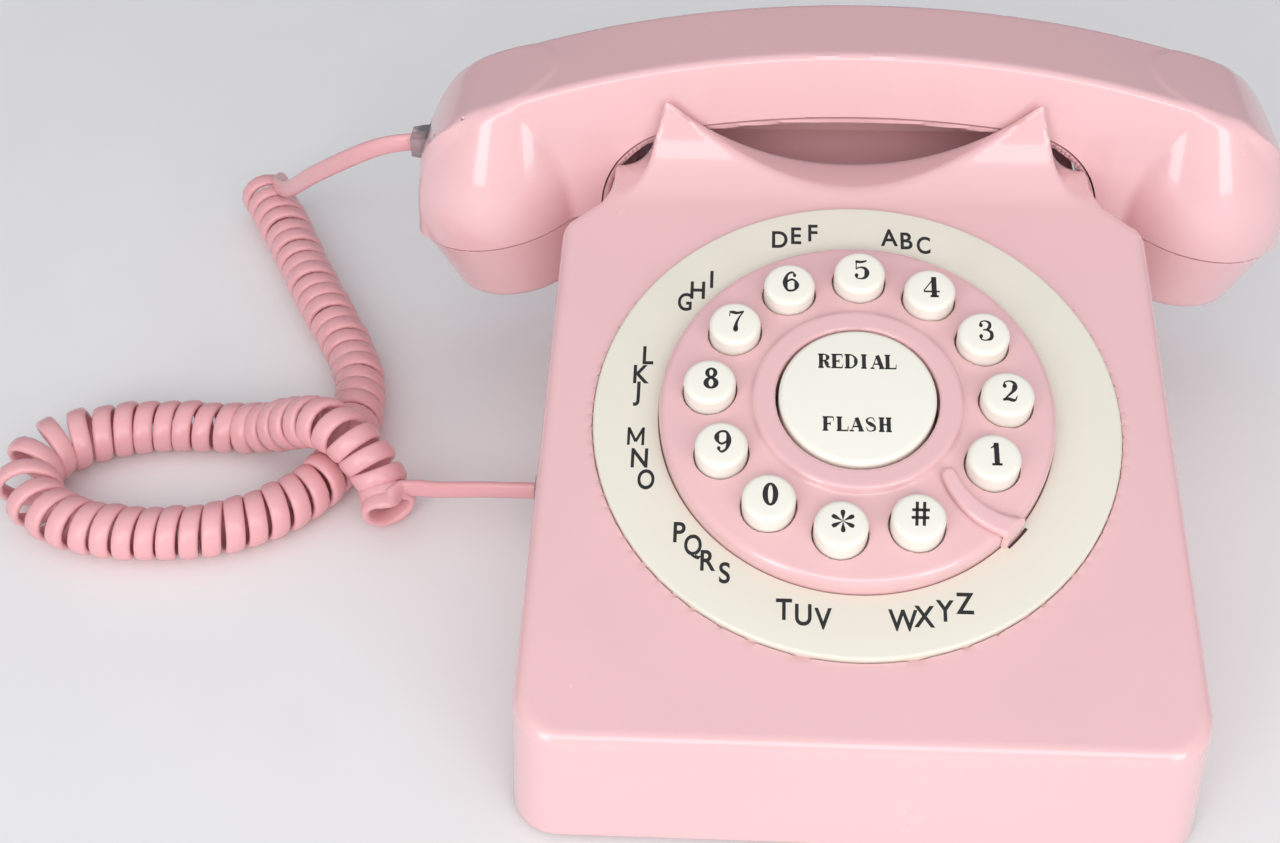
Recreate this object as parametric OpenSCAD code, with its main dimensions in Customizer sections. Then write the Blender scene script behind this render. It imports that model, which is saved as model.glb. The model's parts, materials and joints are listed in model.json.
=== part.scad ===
// Compact desk telephone with a handset across the rear cradle and a round
// push-button dial. Millimetres, +Z up, the front faces -Y. The origin lies on
// the table, under the middle of the telephone without its cord.

/* [Base] */
// Width of the base at its lower edge
base_w = 149; // [146:1:152]
// Depth of the base, front wall to rear wall
base_d = 186; // [185:1:187]
// Draft of the side walls, in degrees
side_draft = 3.5; // [3:0.5:4]
// Slope of the top panel, in degrees
panel_tilt = 17; // [16:0.5:18]
// Wall thickness of the moulded shells
wall = 2.5; // [2:0.1:2.8]
// Height of the rubber feet below the shell
foot_h = 1.5; // [1:0.5:2]

/* [Dial] */
// Distance of the dial's centre in front of the origin
dial_back = 18.5; // [18:0.5:19]
// Height of the dial's centre, on top of the letter ring
dial_h = 58; // [57.5:0.5:58.5]
// Diameter of the letter ring
ring_d = 118; // [116:1:120]
// Diameter of the round dial face
face_d = 88; // [87:0.5:88.5]
// Diameter of the circle that the keys stand on
key_circle_d = 65.5; // [65:0.5:66]
// Diameter of a key
key_d = 11.6; // [11.2:0.1:11.8]
// Travel of a key
key_travel = 2.3; // [2:0.1:2.5]
// Diameter of the centre rocker
rocker_d = 34.8; // [34:0.2:35]

/* [Handset] */
// Half the distance between the two cups
cup_x = 88.5; // [88:0.5:89]
// Distance of the handset behind the origin
handset_y = 71; // [70.8:0.1:71.2]
// Largest radius of a cup
cup_r = 25; // [24.5:0.5:25]
// Tilt of the caps towards each other, in degrees
cap_tilt = 12; // [11:0.5:13]
// Height of the handle's upper edge
handle_top = 105; // [104.5:0.5:106]

/* [Cord] */
// Outer diameter of the coiled cord
coil_d = 14; // [13:0.5:14]
// Width of the flat lead
lead_w = 3.6; // [3.2:0.2:3.8]

/* [Hidden] */

$fn = 64;
eps = 0.01;

// Base
base_front = -base_d / 2;
base_rear = base_d / 2;
base_half = base_w / 2;
draft_slope = tan(side_draft);
front_edge_r = 5;
corner_r = 9;
panel_drop = 1.4;
sweep_r = 10;
sweep_angle = 78;
sweep_start = 66;
shoulder_half = 57;
shoulder_y = 44;
horn_top = 91;
valley_r = 66;
valley_h = 76.3;
horn_angle = 48.5;
trough_h = 66;
rim_inner = 55.4;
rear_inner = 86.6;
ear_h = 81.8;
ear_inner = 40;
ear_outer = 46.6;
plate_t = 2;
floor_z = foot_h;
fit_gap = 0.3;
tower_places = [[-64, -80], [64, -80], [-48, 80], [48, 80]];
tower_tops = [36, 36, trough_h - 1, trough_h - 1];
foot_places = [[-53, -71], [53, -71], [-40, 71], [40, 71]];

// Dial
ring_recess = 1;
ring_r = ring_d / 2;
face_r = face_d / 2;
key_circle_r = key_circle_d / 2;
key_step = 29.1;
key_first = -28;
key_top = 10.2;
key_bottom = 0.6;
key_flange_r = key_d / 2 + 0.6;
rocker_pivot = 4.5;
rocker_top = 9.1;
collar_r = 23.3;
collar_top = 8.3;
collar_hole_r = rocker_d / 2 + 0.7;
dome_top = 6.6;
rim_top = 4.6;
panel_hole_r = 39;
board_n = -6.2;
board_t = 1.6;
boss_angles = [60, 180, 300];
boss_circle_r = 22.4;
skirt_r = 24.3;
skirt_n = -3.5;
face_boss_angles = [74, 191, 300];
face_boss_r = 41.5;
rim_bore_r = 39.4;
stop_angle = -46.5;

// Cradle and hook
post_x = 50.5;
post_r = 3.2;
post_top = 75.6;
yoke_z = 45;
yoke_t = 4;

// Electronics
board_posts = [[-40, -52], [40, -52], [-40, 22], [40, 22]];
board_z = foot_h + plate_t + 4;
ringer_x = 26;
ringer_y = 48;
switch_x = 28;

// Handset
handle_r = 270;
arch_x = 39;
arch_z = 62;
arch_r = 21.5;
under_r = 250;
under_meet = asin(arch_x / (under_r - arch_r));
under_c = [0, arch_z - sqrt(pow(under_r - arch_r, 2) - pow(arch_x, 2))];
under_top = under_c[1] + under_r;
part_gap = 3.2;
cup_part_z = 54.5;
cap_h = 20;
cap_r = 19;
end_r = 14;
end_x = 97;
end_lean = 15;
handle_half = 15;
handle_top_half = 13;
handle_face_z = 85;
handset_screw_x = [-33, 33];
screw_seat_z = 86;

// Jacks and cord, the cord's points chosen round
base_jack_y = 5;
base_jack_z = 9.5;
line_jack_x = -30;
jack_h = 12;
plug_w = 7.6;
plug_h = 6.4;
handset_jack_z = 71;
coil_axis = [
    [-176, 138, 7.2], [-170, 127, 7.2], [-164, 116, 7.2], [-157, 102, 7.2], [-150, 88, 7.2],
    [-143, 75, 7.2], [-136, 62, 7.2], [-131, 50, 7.2], [-129, 38, 7.2], [-129, 27, 7.2],
    [-131, 16, 7.2], [-135, 7, 7.2], [-141, 0, 7.2], [-148, -5, 7.2], [-157, -9, 7.2],
    [-169, -11, 7.2], [-183, -11, 7.2], [-196, -8, 7.2], [-206, -1, 7.2], [-210, 8, 7.2],
    [-207, 17, 7.2], [-200, 23, 7.2], [-190, 27, 7.2], [-178, 29, 7.2], [-166, 29, 7.2],
    [-156, 27, 8.2], [-148, 22, 12.5], [-141, 15, 18.5], [-135, 7, 22], [-129, 0, 22],
    [-124, -4, 19.5], [-119, -8, 14], [-115.5, -11, 8.5]];
handset_lead_axis = [
    [-111.5, 71, 71], [-116, 71, 70.5], [-121, 72.5, 68.5], [-127, 75.5, 64.5], [-133, 79.5, 59.5],
    [-140, 85, 53], [-147, 92, 45.5], [-154, 101, 36.5], [-160, 111, 28], [-165, 121, 21],
    [-169, 129, 16.5]];
base_lead_axis = [
    [-115, -9, 13], [-112, -6, 15], [-108.5, -2.5, 15], [-104.5, 0.5, 13], [-100, 3, 11],
    [-95.5, 4.5, 9.8], [-91, 5, 9.5], [-86, 5, 9.5]];

// Points on an arc
function arc(c, r, from, to, n) =
    [for (i = [0:n]) let (a = from + (to - from) * i / n) [c[0] + r * cos(a), c[1] + r * sin(a)]];

// A point of the panel's surface at slope distance v and depth t below it, as [y, z]
function on_slope(v, t) =
    [-dial_back + v * cos(panel_tilt) + (panel_drop + t) * sin(panel_tilt),
     dial_h + v * sin(panel_tilt) - (panel_drop + t) * cos(panel_tilt)];

// Slope distance where the panel at depth t meets the plane y
function slope_at(y, t) =
    (y + dial_back - (panel_drop + t) * sin(panel_tilt)) / cos(panel_tilt);

// The panel's front edge, rounded into the front wall, for a wall inset t
function front_edge(t) =
    let (r = front_edge_r - t)
    let (y = base_front + front_edge_r)
    let (c = on_slope(slope_at(y, front_edge_r), front_edge_r))
    arc([y, c[1]], r, 180, 90 + panel_tilt, 6);

// The concave sweep from the panel up to the horns
function sweep_curve() =
    let (p = on_slope(sweep_start, 0))
    let (c = [p[0] - sweep_r * sin(panel_tilt), p[1] + sweep_r * cos(panel_tilt)])
    arc(c, sweep_r, panel_tilt - 90, sweep_angle - 90, 8);

// Places a piece on the dial, whose face is the panel's slope
module on_panel() {
    translate([0, -dial_back, dial_h]) rotate([panel_tilt, 0, 0]) children();
}

// Draws a side outline, given as [y, z], through the width w
module across(w) {
    translate([-w / 2, 0, 0]) rotate([90, 0, 90]) linear_extrude(w) children();
}

// Draws a front outline, given as [x, z], from y0 to y1
module along(y0, y1) {
    translate([0, y1, 0]) rotate([90, 0, 0]) linear_extrude(y1 - y0) children();
}

// Base -------------------------------------------------------------------

// Side outline of the base below the horns, inset t, down to z0
module base_side(t, z0) {
    neck = on_slope(slope_at(shoulder_y + 3 - t, t), t);
    polygon(concat(
        [[base_front + t, z0]],
        front_edge(t),
        [neck,
         [neck[0], trough_h - t],
         [base_rear - 1.5 - t, trough_h - t],
         [base_rear - t, z0]]));
}

// Plan of the base, inset t
module base_plan(t) {
    h = base_half - t;
    n = shoulder_half - t;
    r = corner_r - t;
    f = base_front + t;
    b = base_rear + t;
    y1 = shoulder_y - 12 - t;
    y2 = shoulder_y - t;
    right = concat(
        arc([h - r, f + r], r, -90, 0, 6),
        [[h, y1], [n + 2, y2 - 1], [n, y2 + 1], [n, b]]);
    left = [for (i = [len(right) - 1:-1:0]) [-right[i][0], right[i][1]]];
    polygon(concat(right, left));
}

// Front outline of the base with its draft, inset t
module base_front_outline(t) {
    h = base_half - t;
    top = 100;
    polygon([[-h, 0], [h, 0], [h - top * draft_slope, top], [-h + top * draft_slope, top]]);
}

module base_block(t, z0) {
    intersection() {
        across(base_w) base_side(t, z0);
        translate([0, 0, -1]) linear_extrude(110) base_plan(t);
        along(base_front - 1, base_rear + 1) base_front_outline(t);
    }
}

// Front outline of the horns and the valley between them
module horn_outline() {
    c = [0, valley_h + valley_r];
    edge = arc(c, valley_r, -horn_angle, horn_angle - 180, 24);
    right = [[shoulder_half, trough_h - 2], [shoulder_half - 2.5, 75], [50.3, 78.5], [48.6, 82.5],
             [47.2, 88], [46.4, 90.2], [45, horn_top + 0.4]];
    left = [for (i = [len(right) - 1:-1:0]) [-right[i][0], right[i][1]]];
    polygon(concat(right, edge, left));
}

module front_horns() {
    intersection() {
        across(2 * shoulder_half) {
            s = sweep_curve();
            top = [s[8][0] + 12 / tan(sweep_angle), s[8][1] + 12];
            polygon(concat(
                [[shoulder_y - 4, trough_h - 2], on_slope(slope_at(shoulder_y - 4, 0), 0)],
                s,
                [top, [rim_inner, top[1]], [rim_inner, trough_h - 2]]));
        }
        along(shoulder_y - 5, rim_inner + 1) horn_outline();
    }
}

module rear_horns() {
    intersection() {
        across(2 * shoulder_half)
            polygon([[rear_inner, trough_h - 2], [rear_inner, 95], [rear_inner + 2.6, 95],
                     [base_rear - 1.5, trough_h - 2]]);
        along(rear_inner - 1, base_rear) horn_outline();
    }
}

// Ledges between the horns that the handset's arches rest on
module cradle_ears() {
    for (s = [-1, 1])
        translate([s > 0 ? ear_inner : -ear_outer, rim_inner - 1, trough_h - 2])
            cube([ear_outer - ear_inner, rear_inner - rim_inner + 2, ear_h - trough_h + 2]);
}

module screw_tower(x, y, top) {
    translate([x, y, floor_z + plate_t + 2]) cylinder(h = top - floor_z - plate_t - 2, r = 3.5);
}

module top_shell() color("pink") {
    difference() {
        union() {
            difference() {
                union() {
                    base_block(0, floor_z);
                    front_horns();
                    rear_horns();
                    cradle_ears();
                }
                base_block(wall, floor_z - 1);
                // Seat of the letter ring and opening under the dial
                on_panel() translate([0, 0, -panel_drop - ring_recess])
                    cylinder(h = 8, r = ring_r + 0.3);
                on_panel() translate([0, 0, -30]) cylinder(h = 34, r = panel_hole_r);
                // Bores for the hook posts
                for (s = [-1, 1]) translate([s * post_x, handset_y, trough_h - 8])
                    cylinder(h = 30, r = post_r + 0.4);
                // Line jack opening in the rear wall
                translate([line_jack_x - 6.4, base_rear - 10, floor_z + 5])
                    cube([12.8, 20, jack_h + 0.6]);
                // Handset jack opening in the left wall
                translate([-base_half - 5, base_jack_y - 6.2, base_jack_z - 5.4])
                    cube([12, 12.4, 10.8]);
                // Ringer switch slot in the rear wall
                translate([switch_x - 7, base_rear - 10, floor_z + 9]) cube([14, 20, 5]);
            }
            for (i = [0:3]) screw_tower(tower_places[i][0], tower_places[i][1], tower_tops[i]);
        }
        for (p = tower_places) translate([p[0], p[1], 0]) cylinder(h = 22, r = 1.25);
        // Holes for the dial screws
        for (a = face_boss_angles) on_panel() rotate(a) translate([face_boss_r, 0, -20])
            cylinder(h = 24, r = 1.4);
    }
}

module bottom_plate() color("lightpink") {
    difference() {
        union() {
            intersection() {
                translate([0, 0, floor_z]) linear_extrude(plate_t) base_plan(wall + fit_gap);
                along(base_front, base_rear + 1) base_front_outline(wall + fit_gap);
                translate([-base_half, base_front, 0])
                    cube([base_w, base_d - wall - fit_gap, 20]);
            }
            // Board posts
            for (p = board_posts) translate([p[0], p[1], floor_z + plate_t - eps])
                cylinder(h = board_z - floor_z - plate_t + eps, r = 3);
            // Ringer seat
            translate([ringer_x, ringer_y, floor_z + plate_t - eps]) difference() {
                cylinder(h = 3, r = 16);
                translate([0, 0, -1]) cylinder(h = 5, r = 14.3);
            }
        }
        for (p = tower_places) translate([p[0], p[1], 0]) {
            cylinder(h = 10, r = 1.6);
            cylinder(h = floor_z + 1.2, r = 3.1);
        }
        for (p = board_posts) translate([p[0], p[1], floor_z + 1]) cylinder(h = 10, r = 0.9);
        // Sound slots under the ringer
        for (i = [-2:2]) translate([ringer_x - 8, ringer_y + i * 4 - 0.9, 0]) cube([16, 1.8, 4]);
        // Recesses for the feet
        for (p = foot_places) translate([p[0], p[1], 0]) cylinder(h = floor_z + 0.8, r = 6.3);
    }
}

module rubber_feet() color("dimgray")
    for (p = foot_places) translate([p[0], p[1], 0]) {
        cylinder(h = 1, r1 = 5.4, r2 = 6);
        translate([0, 0, 1]) cylinder(h = floor_z + 0.8 - 1, r = 6);
    }

module base_screws() color("silver")
    for (p = tower_places) translate([p[0], p[1], floor_z + 0.1]) {
        cylinder(h = 1.1, r = 2.8);
        translate([0, 0, 1.1 - eps]) cylinder(h = 10, r = 1.2);
    }

// Steel plate that keeps the light base in place
module base_weight() color("slategray")
    translate([-34, -82, floor_z + plate_t]) cube([68, 22, 4]);

// Dial -------------------------------------------------------------------

module dial_ring() color("ivory") on_panel() {
    translate([0, 0, -panel_drop - ring_recess])
        difference() {
            union() {
                cylinder(h = panel_drop + ring_recess - 0.5, r = ring_r);
                translate([0, 0, panel_drop + ring_recess - 0.5 - eps])
                    cylinder(h = 0.5 + eps, r1 = ring_r, r2 = ring_r - 0.5);
            }
            translate([0, 0, -1]) cylinder(h = 6, r = face_r + 0.2);
        }
}

function key_angle(i) = key_first + key_step * i;

module at_key(i) rotate(key_angle(i)) translate([key_circle_r, 0, 0]) rotate(-key_angle(i)) children();

module dial_face() color("pink") on_panel() {
    low = -panel_drop - ring_recess;
    difference() {
        rotate_extrude() polygon(concat(
            [[rim_bore_r, low], [face_r, low]],
            arc([face_r - 1.2, rim_top - 1.2], 1.2, 0, 80, 4),
            [[collar_r + 8, dome_top - 0.3], [collar_r + 0.9, dome_top],
             [collar_r, dome_top + 0.5], [collar_r - 0.6, collar_top],
             [collar_hole_r + 0.8, collar_top], [collar_hole_r, collar_top - 0.8],
             // Skirt that the keypad board hangs from
             [collar_hole_r, 1.5], [skirt_r - 3.8, 1.5], [skirt_r - 3.8, skirt_n],
             [skirt_r, skirt_n], [skirt_r, dome_top - 2.4],
             [collar_r + 8, dome_top - 2.6], [rim_bore_r, rim_top - 1.7]]));
        for (i = [0:11]) at_key(i) translate([0, 0, -1]) cylinder(h = 20, r = key_d / 2 + 0.25);
        // Pilot holes for the board's screws and the dial screws
        for (a = boss_angles) rotate(a) translate([boss_circle_r, 0, board_n - 1])
            cylinder(h = 8, r = 0.9);
        for (a = face_boss_angles) rotate(a) translate([face_boss_r, 0, low - 1])
            cylinder(h = 5.5, r = 1);
        // Sockets for the rocker's trunnions
        rotate([0, 90, 0]) translate([-rocker_pivot, 0, -collar_r + 1.5])
            cylinder(h = 2 * collar_r - 3, r = 1.35);
        // Seat for the finger stop's foot
        rotate(stop_angle) translate([face_r - 1.4, -3, -0.2]) cube([8, 6, 12]);
    }
}

// Fixed tongue over the dial face, hooked over its rim
module finger_stop() color("lightpink") on_panel() rotate(stop_angle) {
    difference() {
        union() {
            translate([0, 0, rim_top + 0.9]) linear_extrude(1.9) polygon(concat(
                arc([29.2, 0], 1.8, 90, 270, 8), [[46.6, -3.3], [47.2, 0], [46.6, 3.3]]));
            translate([face_r - 1.2, -2.8, 0.1]) cube([3.4, 5.6, rim_top + 1.2]);
        }
        cylinder(h = dome_top + 0.25, r = 38);
    }
}

module dial_screws() color("silver") on_panel()
    for (a = face_boss_angles) rotate(a) translate([face_boss_r, 0, 0]) {
        low = -panel_drop - wall - 0.05;
        translate([0, 0, low - 1.3]) cylinder(h = 1.3, r = 2.3);
        translate([0, 0, low - eps]) cylinder(h = 4.2, r = 0.98);
    }

// Key cap with a retaining flange below the dial face
module key_cap() {
    cylinder(h = 0.8, r = 3);
    translate([0, 0, 0.8 - eps]) cylinder(h = 1.2, r = key_flange_r);
    translate([0, 0, 2 - 2 * eps]) cylinder(h = key_top - key_bottom - 2.7, r = key_d / 2);
    translate([0, 0, key_top - key_bottom - 0.7 - 3 * eps])
        cylinder(h = 0.7 + 3 * eps, r1 = key_d / 2, r2 = key_d / 2 - 0.7);
}

module key(i) color("ivory") on_panel() at_key(i) translate([0, 0, key_bottom]) key_cap();

module function_rocker() color("ivory") on_panel() {
    r = rocker_d / 2;
    difference() {
        union() {
            translate([0, 0, 1.6]) cylinder(h = rocker_top - 2.4, r = r);
            translate([0, 0, rocker_top - 0.8 - eps]) cylinder(h = 0.8 + eps, r1 = r, r2 = r - 0.8);
        }
        translate([0, 0, 1]) cylinder(h = rocker_top - 3, r = r - 1.8);
    }
    for (s = [-1, 1]) {
        rotate([0, 90, 0]) translate([-rocker_pivot, 0, s > 0 ? r - 1 : -r - 2.2])
            cylinder(h = 3.2, r = 1.05);
        // Studs that press the board's two switches
        translate([0, s * 9, 1]) cylinder(h = rocker_top - 2.5, r = 2);
    }
}

module keypad_membrane() color("gainsboro") on_panel() difference() {
    union() {
        translate([0, 0, board_n + board_t]) cylinder(h = 1, r = 38);
        for (i = [0:11]) at_key(i) translate([0, 0, board_n + board_t])
            cylinder(h = key_bottom - key_travel - 0.2 - board_n - board_t, r = 4.4);
        for (s = [-1, 1]) translate([0, s * 9, board_n + board_t])
            cylinder(h = 1 - 0.75 - board_n - board_t, r = 3.4);
    }
    for (a = boss_angles) rotate(a) translate([boss_circle_r, 0, board_n - 1])
        cylinder(h = 8, r = 1.2);
}

module keypad_board() color("seagreen") on_panel() difference() {
    translate([0, 0, board_n]) cylinder(h = board_t, r = 38);
    for (a = boss_angles) rotate(a) translate([boss_circle_r, 0, board_n - 1])
        cylinder(h = 4, r = 1.1);
}

module keypad_screws() color("silver") on_panel()
    for (a = boss_angles) rotate(a) translate([boss_circle_r, 0, board_n]) {
        translate([0, 0, -1.2]) cylinder(h = 1.2, r = 2);
        translate([0, 0, -eps]) cylinder(h = 5, r = 0.88);
    }

// Electronics ------------------------------------------------------------

module main_board() color("seagreen") {
    top = board_z + board_t - eps;
    difference() {
        union() {
            translate([-46, -56, board_z]) cube([92, 84, board_t]);
            // Transformer, capacitors and chips
            translate([-30, -20, top]) cube([16, 14, 10]);
            translate([12, -8, top]) cylinder(h = 11, r = 4);
            translate([24, -8, top]) cylinder(h = 11, r = 4);
            translate([-8, 4, top]) cube([22, 8, 3]);
            translate([2, -40, top]) cube([18, 8, 3]);
        }
        for (p = board_posts) translate([p[0], p[1], 0]) cylinder(h = 30, r = 1.2);
    }
}

module board_screws() color("silver")
    for (p = board_posts) translate([p[0], p[1], board_z + board_t]) {
        cylinder(h = 1.2, r = 2.2);
        translate([0, 0, -5.4]) cylinder(h = 5.4 + eps, r = 0.88);
    }

// Two clear posts joined by a yoke
module hook_plunger() color("lavender", 0.6) {
    for (s = [-1, 1]) translate([s * post_x, handset_y, yoke_z + 1]) {
        cylinder(h = post_top - yoke_z - 1, r = post_r);
        translate([0, 0, post_top - yoke_z - 1]) sphere(r = post_r);
    }
    translate([-post_x, handset_y - 2.5, yoke_z]) cube([2 * post_x, 5, yoke_t]);
    // Spring cup and switch finger
    translate([0, handset_y, yoke_z - 3]) cylinder(h = 4, r = 2.6);
    translate([14, handset_y - 2.5, yoke_z - 6]) cube([6, 5, 7]);
}

module hook_switch() color("dimgray") {
    translate([9, handset_y - 4, floor_z + plate_t]) cube([16, 8, 30]);
    translate([15, handset_y - 2, floor_z + plate_t + 30 - eps]) cube([4, 4, 5.2]);
}

// Return spring under the yoke
module hook_spring() color("silver") translate([0, handset_y, floor_z + plate_t + 0.1]) difference() {
    cylinder(h = yoke_z - 3.1 - floor_z - plate_t - 0.1, r = 4);
    translate([0, 0, -1]) cylinder(h = 60, r = 3);
}

module ringer() color("goldenrod") translate([ringer_x, ringer_y, floor_z + plate_t]) {
    cylinder(h = 6, r = 14);
    translate([0, 0, 6 - eps]) cylinder(h = 3, r = 9);
}

// Slide that sets the ringer's loudness
module ringer_switch() color("white") {
    translate([switch_x - 2.5, base_rear - 5.4, floor_z + 9.5]) cube([5, 4.8, 4]);
    translate([switch_x - 6, base_rear - 6.4, floor_z + 9.2]) cube([12, 1.5, 4.6]);
}

// Housing with a square socket for a modular plug, opening towards +X
module jack(w, h, depth, socket_w, socket_h) {
    difference() {
        translate([-depth, -w / 2, -h / 2]) cube([depth, w, h]);
        translate([-depth + 2, -socket_w / 2, -socket_h / 2]) cube([depth, socket_w, socket_h]);
    }
}

module line_jack() color("ivory")
    translate([line_jack_x, base_rear - 0.6, floor_z + 5.3 + jack_h / 2]) rotate(90)
        jack(12.4, jack_h, 15, 9.8, 7);

module base_jack() color("dimgray")
    translate([-base_half + 0.6, base_jack_y, base_jack_z]) rotate(180)
        jack(12, 10.4, 13, plug_w + 0.4, plug_h + 0.4);

// Handset ----------------------------------------------------------------

// Front outline of the handset, inset t, open downwards below the cups
module handset_outline(t) {
    top_c = [0, handle_top - handle_r];
    top_a = asin(end_x / handle_r);
    corner = [end_x - end_r * sin(top_a), top_c[1] + handle_r * cos(top_a) - end_r * cos(top_a)];
    end_top = [corner[0] + end_r * cos(end_lean), corner[1] + end_r * sin(end_lean)];
    tail = end_top[0] + (end_top[1] - 45) * tan(end_lean);
    arch_c = [arch_x, arch_z];
    right = concat(
        arc(top_c, handle_r - t, 90, 90 - top_a, 10),
        arc(corner, end_r - t, 85 - top_a, end_lean, 6),
        [[tail - t, 45], [tail - t, 20], [arch_x + arch_r + t, 20]],
        arc(arch_c, arch_r + t, 0, 90 - under_meet, 9),
        arc(under_c, under_r + t, 90 - under_meet * 0.8, 90, 4));
    left = [for (i = [len(right) - 2:-1:1]) [-right[i][0], right[i][1]]];
    polygon(concat(right, left));
}

// Side outline of the handle, given as [y, z] about the handset's middle, inset t
module handle_section(t) {
    b = handle_half - t;
    c = handle_top_half - t;
    polygon([[-b - 4, 30], [-b, handle_face_z], [-c, handle_top + 1],
             [c, handle_top + 1], [b, handle_face_z], [b + 4, 30]]);
}

// One cup, inset t: a cap that faces inwards, a short wall and a cone up to the handle
module cup(t) {
    translate([cup_x, 0, cup_part_z]) {
        rotate([0, cap_tilt, 0]) {
            translate([0, 0, t - cap_h])
                cylinder(h = cap_h - t + eps, r1 = cap_r - t, r2 = cup_r - 0.8 - t);
            cylinder(h = 5, r = cup_r - 0.6 - t);
        }
        translate([0.6, 0, 2]) rotate([0, -5, 0]) cylinder(h = 42, r1 = cup_r - t, r2 = 12 - t);
    }
}

// Plan of the handset, inset t, with its ends round about the cups
module handset_plan(t) {
    translate([-cup_x, -30, 0]) cube([2 * cup_x, 60, 120]);
    for (s = [-1, 1]) translate([s * cup_x, 0, 0]) cylinder(h = 120, r = cup_r - t);
}

module handset_body(t) {
    translate([0, handset_y, 0]) intersection() {
        along(-60, 60) handset_outline(t);
        union() {
            difference() {
                intersection() {
                    across(240) handle_section(t);
                    handset_plan(t);
                }
                for (s = [-1, 1]) translate([s * cup_x, 0, cup_part_z + t]) rotate([0, s * cap_tilt, 0])
                    translate([-60, -60, -80]) cube([120, 120, 80]);
            }
            cup(t);
            mirror([1, 0, 0]) cup(t);
        }
    }
}

// Everything below the parting line, which follows the caps, the arches and the handle
module below_parting(lift) {
    arch_c = [arch_x, arch_z];
    r = arch_r + part_gap + lift;
    outer = 125;
    inner = arch_x + r + 4;
    right = concat(
        [[outer, 10], [outer, cup_part_z - (outer - cup_x) * tan(cap_tilt) + lift],
         [inner, cup_part_z + (cup_x - inner) * tan(cap_tilt) + lift]],
        arc(arch_c, r, 15, 90 - under_meet, 9),
        arc(under_c, under_r + part_gap + lift, 90 - under_meet * 0.8, 90, 4));
    left = [for (i = [len(right) - 2:-1:0]) [-right[i][0], right[i][1]]];
    along(-60, 60) polygon(concat(right, left));
}

module handset_upper_shell() color("pink") difference() {
    union() {
        difference() {
            handset_body(0);
            handset_body(wall);
        }
        for (x = handset_screw_x) translate([x, handset_y, 84]) cylinder(h = 17, r = 3.4);
    }
    translate([0, handset_y, 0]) below_parting(0.05);
    for (x = handset_screw_x) translate([x, handset_y, 80]) cylinder(h = 16, r = 1.2);
    // Opening for the cord's socket
    translate([-120, handset_y - 4.7, handset_jack_z - 4.4]) cube([20, 9.4, 8.8]);
}

module handset_lower_shell() color("pink") difference() {
    intersection() {
        difference() {
            handset_body(0);
            handset_body(wall);
        }
        translate([0, handset_y, 0]) below_parting(-0.05);
    }
    for (x = handset_screw_x) translate([x, handset_y, 80]) {
        cylinder(h = 10, r = 1.6);
        cylinder(h = screw_seat_z - 80, r = 3);
    }
    // Sound holes of the receiver's cap on the right and the transmitter's on the left
    translate([cup_x, handset_y, cup_part_z]) rotate([0, cap_tilt, 0]) {
        translate([0, 0, -cap_h - 1]) cylinder(h = 5, r = 1.2);
        for (k = [0:5]) rotate(60 * k) translate([6, 0, -cap_h - 1]) cylinder(h = 5, r = 1.2);
    }
    translate([-cup_x, handset_y, cup_part_z]) rotate([0, -cap_tilt, 0])
        for (k = [-1:1]) translate([0, 5 * k, -cap_h - 1]) cylinder(h = 5, r = 1.2);
}

module receiver() color("dimgray")
    translate([cup_x, handset_y, cup_part_z]) rotate([0, cap_tilt, 0])
        translate([0, 0, wall - cap_h + 0.2]) {
            cylinder(h = 9, r = 15);
            translate([0, 0, 9 - eps]) cylinder(h = 4, r = 10);
        }

module transmitter() color("black")
    translate([-cup_x, handset_y, cup_part_z]) rotate([0, -cap_tilt, 0])
        translate([0, 0, wall - cap_h + 0.2]) {
            cylinder(h = 3, r = 13);
            translate([0, 0, 3 - eps]) cylinder(h = 5, r = 5);
        }

module handset_weight() color("slategray")
    translate([-24, handset_y - 9, under_top + 4.6]) cube([48, 18, 8]);

module handset_jack() color("dimgray")
    translate([-107, handset_y, handset_jack_z]) rotate(180)
        jack(9, 8.4, 14, plug_w + 0.2, plug_h + 0.2);

module handset_screws() color("silver")
    for (x = handset_screw_x) translate([x, handset_y, 0]) {
        translate([0, 0, screw_seat_z - 1.15]) cylinder(h = 1.1, r = 2.6);
        translate([0, 0, screw_seat_z - 0.1]) cylinder(h = 9, r = 1.15);
    }

// Cord -------------------------------------------------------------------

function unit(v) = v / norm(v);

// Rings of n points around an axis, each square to the way the axis runs
function ring_frame(axis, i) =
    let (a = axis[max(i - 1, 0)], b = axis[min(i + 1, len(axis) - 1)])
    let (t = unit(b - a))
    let (side = unit(cross(t, [0, 0, 1])))
    [side, cross(side, t)];

module tube(axis, r, n) {
    last = len(axis) - 1;
    points = [for (i = [0:last]) let (f = ring_frame(axis, i)) for (k = [0:n - 1])
        axis[i] + r * (cos(360 * k / n) * f[0] + sin(360 * k / n) * f[1])];
    sides = [for (i = [0:last - 1]) for (k = [0:n - 1]) let (m = (k + 1) % n)
        [i * n + k, (i + 1) * n + k, (i + 1) * n + m, i * n + m]];
    polyhedron(points, concat(sides, [[for (k = [0:n - 1]) k]],
        [[for (k = [n - 1:-1:0]) last * n + k]]), convexity = 10);
}

module handset_plug() color("gainsboro", 0.7)
    translate([handset_lead_axis[0][0], handset_y - plug_w / 2, handset_jack_z - plug_h / 2])
        cube([14.5, plug_w, plug_h]);

module handset_lead() color("lightpink") tube(handset_lead_axis, lead_w / 2, 8);

module coiled_cord() color("lightpink") tube(coil_axis, coil_d / 2, 12);

module base_lead() color("lightpink") tube(base_lead_axis, lead_w / 2, 8);

module base_plug() color("gainsboro", 0.7)
    translate([-86, base_jack_y - plug_w / 2, base_jack_z - plug_h / 2])
        cube([20, plug_w, plug_h]);

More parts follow.
